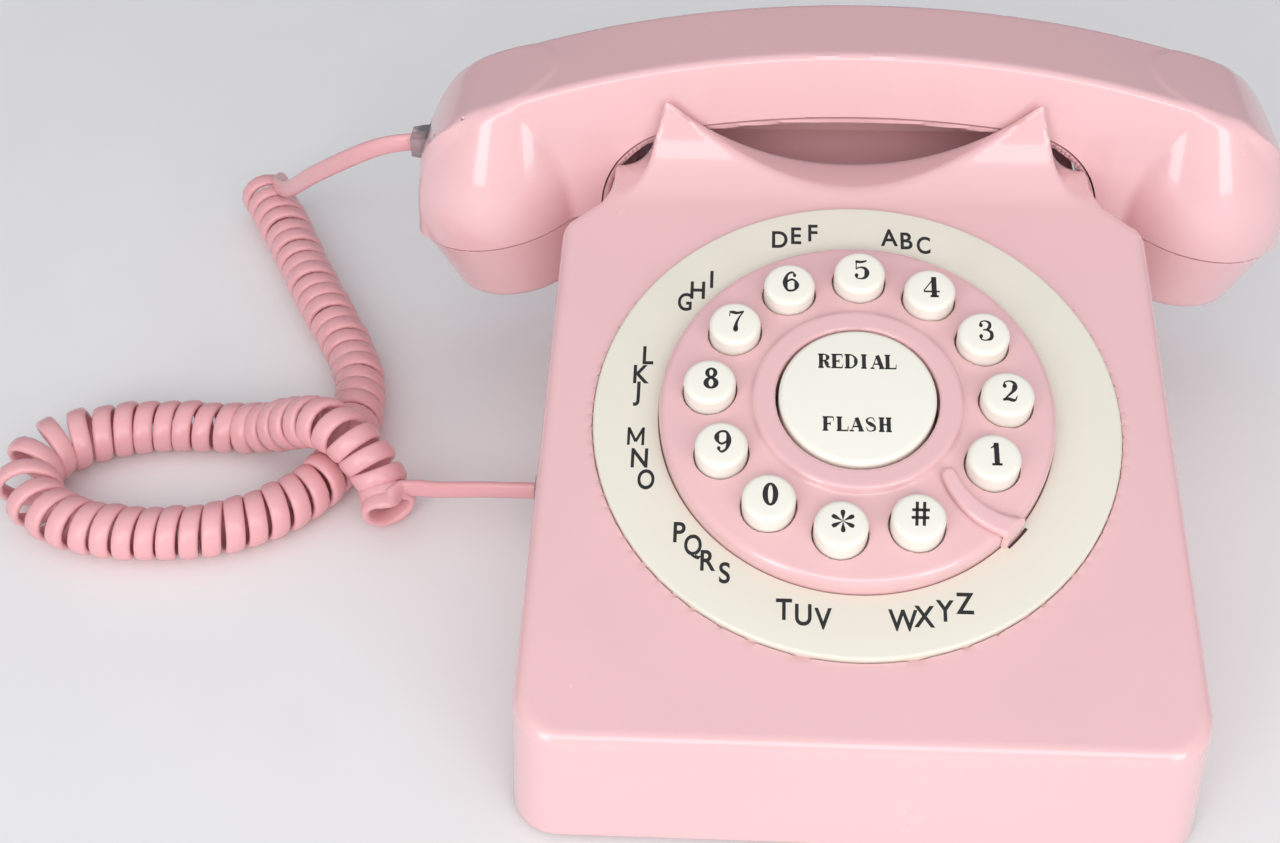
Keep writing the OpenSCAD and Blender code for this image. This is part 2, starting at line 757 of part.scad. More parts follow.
top_shell();
bottom_plate();
rubber_feet();
base_screws();
base_weight();
dial_ring();
dial_face();
finger_stop();
dial_screws();
key(0);  // key_1
key(1);  // key_2
key(2);  // key_3
key(3);  // key_4
key(4);  // key_5
key(5);  // key_6
key(6);  // key_7
key(7);  // key_8
key(8);  // key_9
key(9);  // key_0
key(10);  // key_star
key(11);  // key_hash
function_rocker();
keypad_membrane();
keypad_board();
keypad_screws();
main_board();
board_screws();
hook_plunger();
hook_switch();
hook_spring();
ringer();
ringer_switch();
line_jack();
base_jack();
handset_upper_shell();
handset_lower_shell();
receiver();
transmitter();
handset_weight();
handset_jack();
handset_screws();
handset_plug();
handset_lead();
coiled_cord();
base_lead();
base_plug();
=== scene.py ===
import json
from math import cos, pi, radians, sin, tan

import bmesh
import bpy
import numpy as np
from mathutils import Matrix, Vector


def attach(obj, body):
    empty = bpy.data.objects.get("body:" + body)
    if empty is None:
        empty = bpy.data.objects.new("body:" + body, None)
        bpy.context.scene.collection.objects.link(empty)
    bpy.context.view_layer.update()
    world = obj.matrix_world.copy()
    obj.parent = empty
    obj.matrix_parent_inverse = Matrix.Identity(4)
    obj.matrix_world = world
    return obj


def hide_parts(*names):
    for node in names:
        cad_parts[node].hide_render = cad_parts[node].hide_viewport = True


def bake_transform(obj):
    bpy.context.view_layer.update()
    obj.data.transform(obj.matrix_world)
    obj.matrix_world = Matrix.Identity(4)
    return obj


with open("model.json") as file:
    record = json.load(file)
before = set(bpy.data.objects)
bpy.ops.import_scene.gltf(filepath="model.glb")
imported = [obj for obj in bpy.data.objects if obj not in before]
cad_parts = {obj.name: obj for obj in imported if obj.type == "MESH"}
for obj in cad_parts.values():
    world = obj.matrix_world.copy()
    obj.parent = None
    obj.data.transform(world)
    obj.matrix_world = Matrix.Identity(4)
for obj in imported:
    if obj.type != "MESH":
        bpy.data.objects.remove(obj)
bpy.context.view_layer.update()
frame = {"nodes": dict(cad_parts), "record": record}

MM = 0.001
SHARP = radians(36)
CORNER_PULL = 0.06

# Base
BASE_W, BASE_D = 148, 186
SIDE_DRAFT, REAR_DRAFT = radians(3.5), 0.025
PANEL_TILT, PANEL_DROP = radians(17), 1.4
WALL = 2.5
TROUGH_FRONT, TROUGH_REAR, TROUGH_FLOOR = 55.4, 86.6, 66
EAR_INNER, EAR_OUTER, EAR_TOP = 40, 46.6, 81.8
SHOULDER_TOP, SHOULDER_HALF = 75.3, 58.2
POST_X, POST_HOLE_R = 50.5, 3.6
HORN_FRONT_Y, HORN_FRONT_Z, HORN_FRONT_LEAN = 50.66, 77.68, radians(78)
HORN_SIDE_X, HORN_SIDE_Z, HORN_SIDE_LEAN = 48.6, 82.5, radians(16)
CRADLE_R, CRADLE_Z = 66, 142.3
NECK_X, NECK_Y, NECK_ACROSS, NECK_BACK = 72.4, 32, 0.634, 0.773
SCREW_TOWERS = [(64, -80, 36), (48, 80, TROUGH_FLOOR - 1)]
TOWER_R, TOWER_FOOT = 3.5, 5.5
LINE_OPENING = (-36.4, -23.6, 80, 99, 6.5, 19.1)
SLIDE_OPENING = (21, 35, 82, 99, 10.5, 15.5)
PLUG_OPENING = (-90, -60, -1.2, 11.2, 4.1, 14.9)

# Dial
DIAL_Y, DIAL_Z = -18.5, 58
RING_R, FACE_R = 59, 44
KEY_CIRCLE, KEY_R, KEY_TOP, KEY_FOOT, KEY_EDGE = 32.75, 5.8, 10.2, 0.6, 1.3
KEY_FIRST, KEY_STEP = -28, 29.1
KEYS = "1 2 3 4 5 6 7 8 9 0 star hash".split()
ROCKER_R, ROCKER_TOP, ROCKER_EDGE = 17.4, 9.1, 1.2
COLLAR_R, COLLAR_TOP, COLLAR_HOLE = 23.3, 8.3, 18.1
STOP_CENTRE, STOP_R, STOP_FROM, STOP_TO = (36, -13), 17.6, 199, 262
STOP_HALF, STOP_WIDER, STOP_REACH, STOP_THICK = 1.6, 0.8, 44.9, 1.9
HOOK_HALF, HOOK_R, HOOK_THICK, HOOK_TOP = 2.2, 44.65, 0.6, 5.6
# Inner and outer radius of a thin dark plate of painted shade in the ring's top: the shadow under the finger
# stop's hook
HOOK_SHADE_INNER, HOOK_SHADE_OUTER = 45.1, 45.8
DOME_TOP, DOME_START, DOME_FALL = 6.6, 0.9, 0.101
DIAL_FLOOR, DIAL_HOLE_R = -2.4, 39
TRUNNION_Z, TRUNNION_R, TRUNNION_END = 4.5, 1.35, 21.8
PRINT_DEPTH, PRINT_PROUD = 0.1, 0.04

# Handset
CUP_X, HANDSET_Y, CUP_R = 88.5, 71, 25
CAP_TILT, PART_Z, CAP_H = radians(12), 54.5, 20
ARCH_X, ARCH_Z, ARCH_R = 39, 62, 21.2
UNDER_Z, UNDER_R, UNDER_HALF = -163.15, 250, 42.67
STRIP = 1.9
BACK_Z, BACK_R = -165, 270
END_X, END_Z, END_LEAN, END_LIMIT = 107.8, 77.5, radians(13), 112.3
HANDLE_HALF, HANDLE_Z = 14.8, 85
CUP_FOOT_X, CUP_FOOT_Z, CUP_LEAN = 89.1, 56.5, radians(5)
CAP_R, CAP_FLARE = 24.2, 0.26
JACK_OPENING = (-130, -99, -4.7, 4.7, 66.6, 75.4)
PART_GAP = 0.2
SOUND_HOLE_R = 1.2
SCREW_X, SCREW_HOLE_R, SCREW_HOLE_TOP = 33, 3, 86
RECEIVER_HOLES = [(6 * cos(i * pi / 3), 6 * sin(i * pi / 3)) for i in range(6)] + [(0, 0)]
MICROPHONE_HOLES = [(-5, 0), (0, 0), (5, 0)]

# Cord. Its points are the CAD's, but for the coil's last nine and the base's lead, which meet more smoothly
COIL_AXIS = [
    (-176, 138, 7.2), (-170, 127, 7.2), (-164, 116, 7.2), (-157, 102, 7.2), (-150, 88, 7.2),
    (-143, 75, 7.2), (-136, 62, 7.2), (-131, 50, 7.2), (-129, 38, 7.2), (-129, 27, 7.2),
    (-131, 16, 7.2), (-135, 7, 7.2), (-141, 0, 7.2), (-148, -5, 7.2), (-157, -9, 7.2),
    (-169, -11, 7.2), (-183, -11, 7.2), (-196, -8, 7.2), (-206, -1, 7.2), (-210, 8, 7.2),
    (-207, 17, 7.2), (-200, 23, 7.2), (-190, 27, 7.2), (-178, 29, 7.2), (-166, 29, 7.2),
    (-156, 28, 8), (-148, 24.5, 12), (-141, 20.5, 17), (-134, 16.5, 21), (-127, 12, 21.5),
    (-120.5, 8, 17), (-116.7, 4.6, 11.8), (-114.8, 1, 8.4), (-114.2, -2.5, 7.6)]
HANDSET_LEAD = [
    (-111.5, 71, 71), (-116, 71, 70.5), (-121, 72.5, 68.5), (-127, 75.5, 64.5), (-133, 79.5, 59.5),
    (-140, 85, 53), (-147, 92, 45.5), (-154, 101, 36.5), (-160, 111, 28), (-165, 121, 21),
    (-169, 129, 16.5)]
BASE_LEAD = [
    (-110, 0.8, 13.4), (-106.5, 2, 12.4), (-102.5, 3, 11), (-97, 4.2, 10), (-91, 5, 9.5), (-86, 5, 9.5)]
BASE_LEAD_END, HANDSET_LEAD_END = (-75, 5, 9.5), (-108.5, 71, 71)
COIL_R, COIL_PITCH, TURN_POINTS = 5.8, 5.2, 16
CORD_W, CORD_T = 4.9, 2.3
AXIS_STEP, LEAD_STEP, BRIDGE_POINTS = 0.5, 2.0, 12
# Where along the axis the turns open out, and over what length: at the bend, on the rise, from the far end
BEND_AT, BEND_SPAN, RISE_AT, RISE_SPAN, FAR_SPAN = 236, 19, 300, 17, 110
BASE_PLUG, HANDSET_PLUG = (-77.5, -66.3, 5, 9.5), (-112.4, -97.3, 71, 71)
PLUG_HALF_W, PLUG_HALF_H, PLUG_TAPER = 3.7, 3.1, 4

# Camera and lights
CAMERA_PLACE = (-0.0258, -0.3181, 0.3246)
CAMERA_RIGHT, CAMERA_FORWARD = Vector((0.9982, 0.0558, -0.0218)), Vector((-0.0561, 0.7423, -0.6677))
AIM, SOFTBOX_SIZE, SOFTBOX_POWER = (0, 0, 0.07), (0.3, 0.42), 1.7
SKY_TOWARDS, SKY_LOW, SKY_HIGH = (0, -0.6, 0.8), 0.29, 0.83


# Camera ----------------------------------------------------------------

def make_camera():
    data = bpy.data.cameras.new("camera")
    data.lens, data.sensor_width = 50, 36
    data.clip_start, data.clip_end = 0.01, 20
    camera = bpy.data.objects.new("camera", data)
    bpy.context.scene.collection.objects.link(camera)
    right, forward = CAMERA_RIGHT.normalized(), CAMERA_FORWARD.normalized()
    up = right.cross(forward)
    turn = Matrix((right, up, -forward)).transposed().to_4x4()
    camera.matrix_world = Matrix.Translation(CAMERA_PLACE) @ turn
    bpy.context.scene.camera = camera


# Materials -------------------------------------------------------------

def material(name, colour, rough, mottle=0.03, grain=0.0, grain_scale=900, **sockets):
    """Moulded plastic: faint colour and gloss variation, and a fine or wavy relief."""
    made = bpy.data.materials.new(name)
    made.use_nodes = True
    nodes, links = made.node_tree.nodes, made.node_tree.links
    shader = nodes["Principled BSDF"]
    for key, value in sockets.items():
        shader.inputs[key.replace("_", " ")].default_value = value
    place = nodes.new("ShaderNodeTexCoord")
    cloud = nodes.new("ShaderNodeTexNoise")
    cloud.inputs["Scale"].default_value = 38
    cloud.inputs["Detail"].default_value = 4
    links.new(place.outputs["Object"], cloud.inputs["Vector"])
    tint = nodes.new("ShaderNodeMix")
    tint.data_type = "RGBA"
    tint.inputs["A"].default_value = (*[c * (1 - mottle) for c in colour], 1)
    tint.inputs["B"].default_value = (*[min(1, c * (1 + mottle)) for c in colour], 1)
    links.new(cloud.outputs["Fac"], tint.inputs["Factor"])
    links.new(tint.outputs["Result"], shader.inputs["Base Color"])
    gloss = nodes.new("ShaderNodeMapRange")
    gloss.inputs["From Min"].default_value = 0.3
    gloss.inputs["From Max"].default_value = 0.7
    gloss.inputs["To Min"].default_value = rough * 0.85
    gloss.inputs["To Max"].default_value = rough * 1.15
    links.new(cloud.outputs["Fac"], gloss.inputs["Value"])
    links.new(gloss.outputs["Result"], shader.inputs["Roughness"])
    if grain:
        fine = nodes.new("ShaderNodeTexNoise")
        fine.inputs["Scale"].default_value = grain_scale
        fine.inputs["Detail"].default_value = 3
        links.new(place.outputs["Object"], fine.inputs["Vector"])
        bump = nodes.new("ShaderNodeBump")
        bump.inputs["Strength"].default_value = grain
        bump.inputs["Distance"].default_value = 0.0002
        links.new(fine.outputs["Fac"], bump.inputs["Height"])
        links.new(bump.outputs["Normal"], shader.inputs["Normal"])
    return made


def make_materials():
    """One material for each of the record's slots, and a few for what only shows here."""
    return {
        "case_pink": material("case_pink", (0.82, 0.505, 0.52), 0.24, grain=0.03, grain_scale=160,
                              IOR=1.5, Coat_Weight=0.6, Coat_Roughness=0.035),
        "plate_pink": material("plate_pink", (0.76, 0.46, 0.50), 0.45, grain=0.25, IOR=1.5),
        "ring_cream": material("ring_cream", (0.80, 0.77, 0.66), 0.2, mottle=0.02, grain=0.02,
                               grain_scale=160, IOR=1.5),
        "key_cream": material("key_cream", (0.90, 0.88, 0.78), 0.2, mottle=0.015, grain=0.02,
                              grain_scale=160, IOR=1.5, Coat_Weight=0.2, Coat_Roughness=0.08),
        "screw_steel": material("screw_steel", (0.62, 0.63, 0.66), 0.3, grain=0.1, Metallic=1.0),
        "weight_steel": material("weight_steel", (0.33, 0.35, 0.38), 0.55, 0.1, 0.4, 500),
        "membrane_rubber": material("membrane_rubber", (0.72, 0.72, 0.72), 0.6, grain=0.2),
        "board_green": material("board_green", (0.04, 0.22, 0.10), 0.35, 0.15, 0.15, 300),
        "clear_post": material("clear_post", (0.80, 0.78, 0.92), 0.08, 0.02,
                               Transmission_Weight=0.75, IOR=1.5),
        "dark_plastic": material("dark_plastic", (0.03, 0.03, 0.035), 0.35, 0.1, 0.2),
        "brass_disc": material("brass_disc", (0.72, 0.5, 0.2), 0.28, 0.06, 0.1, Metallic=1.0),
        "feet_rubber": material("feet_rubber", (0.05, 0.045, 0.05), 0.7, 0.15, 0.5, 600),
        "switch_white": material("switch_white", (0.82, 0.82, 0.8), 0.35, grain=0.1),
        "cord_pink": material("cord_pink", (0.80, 0.41, 0.43), 0.3, 0.05, 0.12, 500,
                              IOR=1.48, Coat_Weight=0.15, Coat_Roughness=0.2),
        "plug_clear": material("plug_clear", (0.86, 0.87, 0.9), 0.08, 0.02,
                               Transmission_Weight=0.85, IOR=1.5),
        "print_black": material("print_black", (0.012, 0.012, 0.014), 0.35, 0.1, 0.1),
        # Painted shade: the dark colour of the shadow in the gap under the finger stop's hook
        "hook_shade_painted": material("hook_shade_painted", (0.07, 0.02, 0.022), 0.5, 0.1, 0.1),
        "brass_contact": material("brass_contact", (0.85, 0.62, 0.25), 0.25, 0.05, 0.1,
                                  Metallic=1.0),
    }


# Mesh helpers ----------------------------------------------------------

def add_object(name, mesh, slot, body):
    mesh.materials.append(MATERIALS[slot])
    mesh.shade_smooth()
    mesh.set_sharp_from_angle(angle=SHARP)
    made = bpy.data.objects.new(name, mesh)
    bpy.context.scene.collection.objects.link(made)
    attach(made, body)
    return made


def mesh_from(name, points, faces, place=None):
    """A mesh from millimetre points, moved by place, which is in millimetres too."""
    points = np.asarray(points, float)
    if place is not None:
        points = points @ np.array(place.to_3x3()).T + np.array(place.translation)
    mesh = bpy.data.meshes.new(name)
    mesh.from_pydata((points * MM).tolist(), [], [list(map(int, f)) for f in faces])
    mesh.validate()
    mesh.update()
    return mesh


def round_max(a, b, r):
    """The intersection of two solids' distances, with its outer edge rounded to r."""
    return np.minimum(np.maximum(a, b), -r) + np.hypot(np.maximum(a + r, 0), np.maximum(b + r, 0))


def round_min(a, b, r):
    """The union of two solids' distances, with its inner corner filled to r."""
    return np.maximum(np.minimum(a, b), r) - np.hypot(np.maximum(r - a, 0), np.maximum(r - b, 0))


def box_field(x, y, z, x0, x1, y0, y1, z0, z1):
    return np.maximum(np.maximum(np.maximum(x0 - x, x - x1), np.maximum(y0 - y, y - y1)),
                      np.maximum(z0 - z, z - z1))


def contour(name, field, low, high, step, place=None):
    """A mesh of the surface where the field is zero, its edges kept by dual contouring."""
    axes = [np.arange(low[i], high[i] + step, step) for i in range(3)]
    size = [len(a) for a in axes]
    grid = np.broadcast_to(field(axes[0][:, None, None], axes[1][None, :, None],
                                 axes[2][None, None, :]), size)
    strides = (size[1] * size[2], size[2], 1)
    points, cells, flips = [], [], []
    for a in range(3):
        cut = [slice(None)] * 3
        cut[a] = slice(None, -1)
        first = grid[tuple(cut)]
        cut[a] = slice(1, None)
        second = grid[tuple(cut)]
        found = np.array(np.nonzero((first < 0) != (second < 0))).T
        va, vb = first[tuple(found.T)], second[tuple(found.T)]
        start = np.stack([axes[i][found[:, i]] for i in range(3)], 1)
        ta, tb = np.zeros(len(found)), np.ones(len(found))
        for _ in range(3):
            t = ta + (tb - ta) * np.clip(va / (va - vb + 1e-12), 0.02, 0.98)
            p = start.copy()
            p[:, a] += t * step
            v = field(p[:, 0], p[:, 1], p[:, 2])
            same = (v < 0) == (va < 0)
            ta, va = np.where(same, t, ta), np.where(same, v, va)
            tb, vb = np.where(same, tb, t), np.where(same, vb, v)
        t = ta + (tb - ta) * np.clip(va / (va - vb + 1e-12), 0, 1)
        p = start.copy()
        p[:, a] += t * step
        points.append(p)
        b, c = (a + 1) % 3, (a + 2) % 3
        ring = []
        for db, dc in ((-1, -1), (0, -1), (0, 0), (-1, 0)):
            cell = found.copy()
            cell[:, b] += db
            cell[:, c] += dc
            ring.append(cell @ np.array(strides))
        cells.append(np.stack(ring, 1))
        flips.append(first[tuple(found.T)] >= 0)
    points, cells, flips = np.concatenate(points), np.concatenate(cells), np.concatenate(flips)
    d = 0.01
    slopes = []
    for i in range(3):
        more, less = points.copy(), points.copy()
        more[:, i] += d
        less[:, i] -= d
        slopes.append(field(*more.T) - field(*less.T))
    normals = np.stack(slopes, 1)
    normals /= np.linalg.norm(normals, axis=1, keepdims=True) + 1e-12
    used, index = np.unique(cells, return_inverse=True)
    index = index.reshape(cells.shape)
    flat, count = index.ravel(), len(used)
    p4, n4 = np.repeat(points, 4, 0), np.repeat(normals, 4, 0)
    number = np.bincount(flat, minlength=count)
    mass = np.stack([np.bincount(flat, p4[:, i], count) for i in range(3)], 1) / number[:, None]
    off = np.einsum("ij,ij->i", n4, p4 - mass[flat])
    matrix = np.zeros((count, 3, 3))
    right = np.zeros((count, 3))
    for i in range(3):
        right[:, i] = np.bincount(flat, n4[:, i] * off, count)
        for j in range(3):
            matrix[:, i, j] = np.bincount(flat, n4[:, i] * n4[:, j], count)
    matrix += np.eye(3) * CORNER_PULL
    corners = mass + np.linalg.solve(matrix, right[:, :, None])[:, :, 0]
    lowest = np.stack([axes[0][used // strides[0]], axes[1][used // strides[1] % size[1]],
                       axes[2][used % size[2]]], 1)
    corners = np.clip(corners, lowest, lowest + step)
    index[flips] = index[flips][:, ::-1]
    return mesh_from(name, corners, index, place)


def lathe(name, profile, turns, place=None, closed=True):
    """A mesh turned about z from (radius, height) points, given anticlockwise."""
    profile = np.array(profile, float)
    angles = np.arange(turns) * 2 * pi / turns
    points = np.stack([np.outer(np.cos(angles), profile[:, 0]), np.outer(np.sin(angles), profile[:, 0]),
                       np.broadcast_to(profile[:, 1], (turns, len(profile)))], 2).reshape(-1, 3)
    n = len(profile)
    faces = []
    for i in range(turns):
        j = (i + 1) % turns
        for k in range(n if closed else n - 1):
            m = (k + 1) % n
            faces.append((i * n + k, j * n + k, j * n + m, i * n + m))
    mesh = mesh_from(name, points, faces, place)
    work = bmesh.new()
    work.from_mesh(mesh)
    bmesh.ops.remove_doubles(work, verts=work.verts, dist=1e-6)
    bmesh.ops.dissolve_degenerate(work, edges=work.edges, dist=1e-7)
    bmesh.ops.recalc_face_normals(work, faces=work.faces)
    work.to_mesh(mesh)
    work.free()
    return mesh


def arc(x, y, r, start, end, steps=6):
    return [(x + r * cos(radians(start + (end - start) * i / steps)),
             y + r * sin(radians(start + (end - start) * i / steps))) for i in range(steps + 1)]


DIAL = Matrix.Translation((0, DIAL_Y, DIAL_Z)) @ Matrix.Rotation(PANEL_TILT, 4, "X")


def to_dial(x, y, z):
    """Places across, up the slope and out of the dial's plane."""
    return (x, (y - DIAL_Y) * cos(PANEL_TILT) + (z - DIAL_Z) * sin(PANEL_TILT),
            (z - DIAL_Z) * cos(PANEL_TILT) - (y - DIAL_Y) * sin(PANEL_TILT))


# Base ------------------------------------------------------------------

def base_outside(x, y, z):
    side_x = np.abs(x)
    panel = to_dial(x, y, z)[2] + PANEL_DROP
    lean = HORN_FRONT_LEAN
    horn_front = -(y - HORN_FRONT_Y) * sin(lean) + (z - HORN_FRONT_Z) * cos(lean)
    top = round_min(panel, horn_front, 10)
    lean = HORN_SIDE_LEAN
    horn_side = (side_x - HORN_SIDE_X) * cos(lean) + (z - HORN_SIDE_Z) * sin(lean)
    horn = round_min(horn_side, z - SHOULDER_TOP, 6)
    horn = round_max(horn, CRADLE_R - np.hypot(x, z - CRADLE_Z), 0.8)
    side = (side_x - BASE_W / 2 + z * tan(SIDE_DRAFT)) * cos(SIDE_DRAFT)
    rear = y - BASE_D / 2 + z * REAR_DRAFT
    neck = (side_x - NECK_X) * NECK_ACROSS + (y - NECK_Y) * NECK_BACK
    plan = round_min(neck, side_x - SHOULDER_HALF, 3)
    walls = round_max(round_max(side, -BASE_D / 2 - y, 11), plan, 2)
    walls = round_max(walls, rear, 4)
    body = round_max(top, walls, 2.6)
    return round_max(body, horn, 0.9)


def top_shell(x, y, z):
    outside = base_outside(x, y, z)
    trough = np.minimum(np.minimum(y - TROUGH_FRONT, TROUGH_REAR - y), z - TROUGH_FLOOR)
    outside = round_max(outside, trough, 0.8)
    ear = box_field(np.abs(x), y, z, EAR_INNER, EAR_OUTER, TROUGH_FRONT - 1, TROUGH_REAR + 1,
                    TROUGH_FLOOR - 6, EAR_TOP)
    u, v, n = to_dial(x, y, z)
    shell = np.maximum(outside, -(outside + WALL))
    shell = np.maximum(shell, 1.5 - z)
    shell = np.minimum(shell, np.maximum(ear, outside))
    for cx, cy, top in SCREW_TOWERS:
        tower = np.hypot(np.abs(x) - cx, y - cy) - TOWER_R
        tower = np.maximum(tower, np.maximum(TOWER_FOOT - z, z - top))
        shell = np.minimum(shell, tower)
    around = np.hypot(u, v)
    shell = np.maximum(shell, -np.maximum(around - RING_R - 0.3, DIAL_FLOOR - n))
    shell = np.maximum(shell, -np.maximum(around - DIAL_HOLE_R, -20 - n))
    post = np.maximum(np.hypot(np.abs(x) - POST_X, y - HANDSET_Y) - POST_HOLE_R, 40 - z)
    shell = np.maximum(shell, -post)
    for opening in (LINE_OPENING, SLIDE_OPENING, PLUG_OPENING):
        shell = np.maximum(shell, -box_field(x, y, z, *opening))
    return shell


def make_base():
    mesh = contour("top_shell_visual", top_shell, (-77, -94, 0.7), (77, 94, 93), 1.0)
    made = add_object("top_shell_visual", mesh, "case_pink", "base")
    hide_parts("top_shell")


# Dial ------------------------------------------------------------------

def key_places():
    for i, key in enumerate(KEYS):
        angle = radians(KEY_FIRST + KEY_STEP * i)
        yield key, KEY_CIRCLE * cos(angle), KEY_CIRCLE * sin(angle)


def dial_face(x, y, z):
    around = np.hypot(x, y)
    dome = z - DOME_TOP + (around - COLLAR_R - DOME_START) * DOME_FALL
    face = round_max(dome, around - FACE_R, 1.8)
    collar = round_max(around - COLLAR_R, z - COLLAR_TOP, 1.2)
    face = round_min(face, collar, 0.9)
    face = round_max(face, COLLAR_HOLE - around, 0.8)
    for _, u, v in key_places():
        face = round_max(face, KEY_R + 0.35 - np.hypot(x - u, y - v), 0.45)
    hollow = np.maximum(np.maximum(dome + 2.2, around - 41.5), 24.3 - around)
    face = np.maximum(face, -hollow)
    trunnion = np.maximum(np.hypot(y, z - TRUNNION_Z) - TRUNNION_R, np.abs(x) - TRUNNION_END)
    face = np.maximum(face, -trunnion)
    return np.maximum(face, DIAL_FLOOR - z)


def make_dial():
    mesh = contour("dial_face_visual", dial_face, (-45, -45, -3), (45, 45, 9.5), 0.55, DIAL)
    made = add_object("dial_face_visual", mesh, "case_pink", "base")
    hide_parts("dial_face")
    r, rim = RING_R, 0.7
    profile = [(FACE_R + 0.2, DIAL_FLOOR), (r, DIAL_FLOOR)] + arc(r - rim, -rim, rim, 0, 90, 5) \
        + arc(FACE_R + 0.5, -0.3, 0.3, 90, 180, 3)
    made = add_object("dial_ring_visual", lathe("dial_ring_visual", profile, 192, DIAL),
                      "ring_cream", "base")
    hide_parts("dial_ring")
    for key, u, v in key_places():
        r, low, edge = KEY_R, KEY_FOOT, KEY_EDGE
        profile = [(0, low), (3, low), (3, low + 0.8), (r + 0.5, low + 0.8), (r + 0.5, low + 2),
                   (r, low + 2)] + arc(r - edge, KEY_TOP - edge, edge, 0, 84, 7) \
            + [(2.5, KEY_TOP), (0, KEY_TOP)]
        place = DIAL @ Matrix.Translation((u, v, 0))
        made = add_object("key_%s_visual" % key, lathe("key_%s_visual" % key, profile, 64, place,
                                                       closed=False),
                          "key_cream", "key_%s_cap" % key)
        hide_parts("key_" + key)
    r, edge = ROCKER_R, ROCKER_EDGE
    profile = [(0, ROCKER_TOP - 2), (r - 1.8, ROCKER_TOP - 2), (r - 1.8, 1.6), (r, 1.6)] \
        + arc(r - edge, ROCKER_TOP - edge, edge, 0, 86, 7) + [(6, ROCKER_TOP), (0, ROCKER_TOP)]
    mesh = lathe("rocker_visual", profile, 128, DIAL, closed=False)
    made = add_object("rocker_visual", mesh, "key_cream", "rocker")
    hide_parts("function_rocker")


def finger_stop(x, y, z):
    """The fixed tongue, curved round key 1 and hooked down over the dial face's rim."""
    dome = DOME_TOP - (np.hypot(x, y) - COLLAR_R - DOME_START) * DOME_FALL
    turn = np.degrees(np.arctan2(y - STOP_CENTRE[1], x - STOP_CENTRE[0])) % 360
    along = (turn - STOP_FROM) / (STOP_TO - STOP_FROM)
    half = STOP_HALF + STOP_WIDER * np.clip(along, 0, 1)
    off = np.abs(np.hypot(x - STOP_CENTRE[0], y - STOP_CENTRE[1]) - STOP_R)
    tip = (STOP_CENTRE[0] + STOP_R * cos(radians(STOP_FROM)),
           STOP_CENTRE[1] + STOP_R * sin(radians(STOP_FROM)))
    bar = np.maximum(off - half, -along * 18)
    tongue = np.minimum(bar, np.hypot(x - tip[0], y - tip[1]) - STOP_HALF)
    tongue = np.maximum(tongue, np.hypot(x, y) - STOP_REACH)
    tongue = round_max(tongue, z - dome - STOP_THICK, 0.8)
    tongue = np.maximum(tongue, dome + 0.4 - z)
    hook = round_max(off - HOOK_HALF, np.abs(np.hypot(x, y) - HOOK_R) - HOOK_THICK, 0.3)
    hook = np.maximum(hook, np.maximum(0.1 - z, z - HOOK_TOP))
    hook = np.maximum(hook, -y - 40)
    return round_min(tongue, hook, 0.5)


def make_finger_stop():
    mesh = contour("finger_stop_visual", finger_stop, (15, -35, -0.6), (37, -15, 9.5), 0.4, DIAL)
    made = add_object("finger_stop_visual", mesh, "case_pink", "base")
    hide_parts("finger_stop")
    # The dark plate at the hook is painted shade. It lies in the ring's top where the hook's overhang casts
    # its shadow
    edge = [(r * cos(radians(a)), r * sin(radians(a))) for r, angles in
            ((HOOK_SHADE_INNER, range(-45, -36)), (HOOK_SHADE_OUTER, range(-37, -46, -1))) for a in angles]
    mesh = slab("stop_hook_painted_shade", [edge], -0.05, 0.04, DIAL)
    add_object("stop_hook_painted_shade", mesh, "hook_shade_painted", "base")


# Lettering -------------------------------------------------------------

def slab(name, outlines, low, high, place):
    """Thin closed plates of the given outlines, for print that stands a hair proud."""
    points, faces = [], []
    for outline in outlines:
        n, start = len(outline), len(points)
        points += [(x, y, low) for x, y in outline] + [(x, y, high) for x, y in outline]
        faces.append([start + i for i in range(n)][::-1])
        faces.append([start + n + i for i in range(n)])
        for i in range(n):
            j = (i + 1) % n
            faces.append([start + i, start + j, start + n + j, start + n + i])
    return mesh_from(name, points, faces, place)


def ribbon(points):
    """Outlines of a pen stroke through (x, y, width) points, one small piece after another."""
    p = np.array(points, float)
    if len(p) > 2:
        p = spline(p, 0.05)
    line = np.gradient(p[:, :2], axis=0)
    line /= np.linalg.norm(line, axis=1, keepdims=True)
    side = np.stack([-line[:, 1], line[:, 0]], 1) * p[:, 2:] / 2
    left, right = p[:, :2] + side, p[:, :2] - side
    pieces = [[tuple(q) for q in (right[i], right[i + 1], left[i + 1], left[i])]
              for i in range(len(p) - 1)]
    if len(points) > 2:
        pieces += [disc(x, y, w / 2) for x, y, w in (p[0], p[-1])]
    return pieces


def disc(x, y, r):
    return [(x + r * cos(2 * pi * i / 16), y + r * sin(2 * pi * i / 16)) for i in range(16)]


def loop(x, y, rx, ry, thick, thin):
    """A closed oval stroke, thick at its sides."""
    n, pieces = 32, []
    at = [2 * pi * i / n for i in range(n)]
    inner = [(x + (rx - thick / 2) * cos(a), y + (ry - thin / 2) * sin(a)) for a in at]
    outer = [(x + (rx + thick / 2) * cos(a), y + (ry + thin / 2) * sin(a)) for a in at]
    for i in range(n):
        j = (i + 1) % n
        pieces.append([inner[j], inner[i], outer[i], outer[j]])
    return pieces


def petals():
    found = []
    for i in range(6):
        a = radians(30 + 60 * i)
        outline = [(0.5, 0.5)]
        for r, w in ((0.2, 0.045), (0.33, 0.085), (0.42, 0.085), (0.475, 0.05)):
            outline.append((0.5 + r * cos(a) + w * sin(a), 0.5 + r * sin(a) - w * cos(a)))
        for r, w in ((0.475, 0.05), (0.42, 0.085), (0.33, 0.085), (0.2, 0.045)):
            outline.append((0.5 + r * cos(a) - w * sin(a), 0.5 + r * sin(a) + w * cos(a)))
        found.append(outline)
    return found


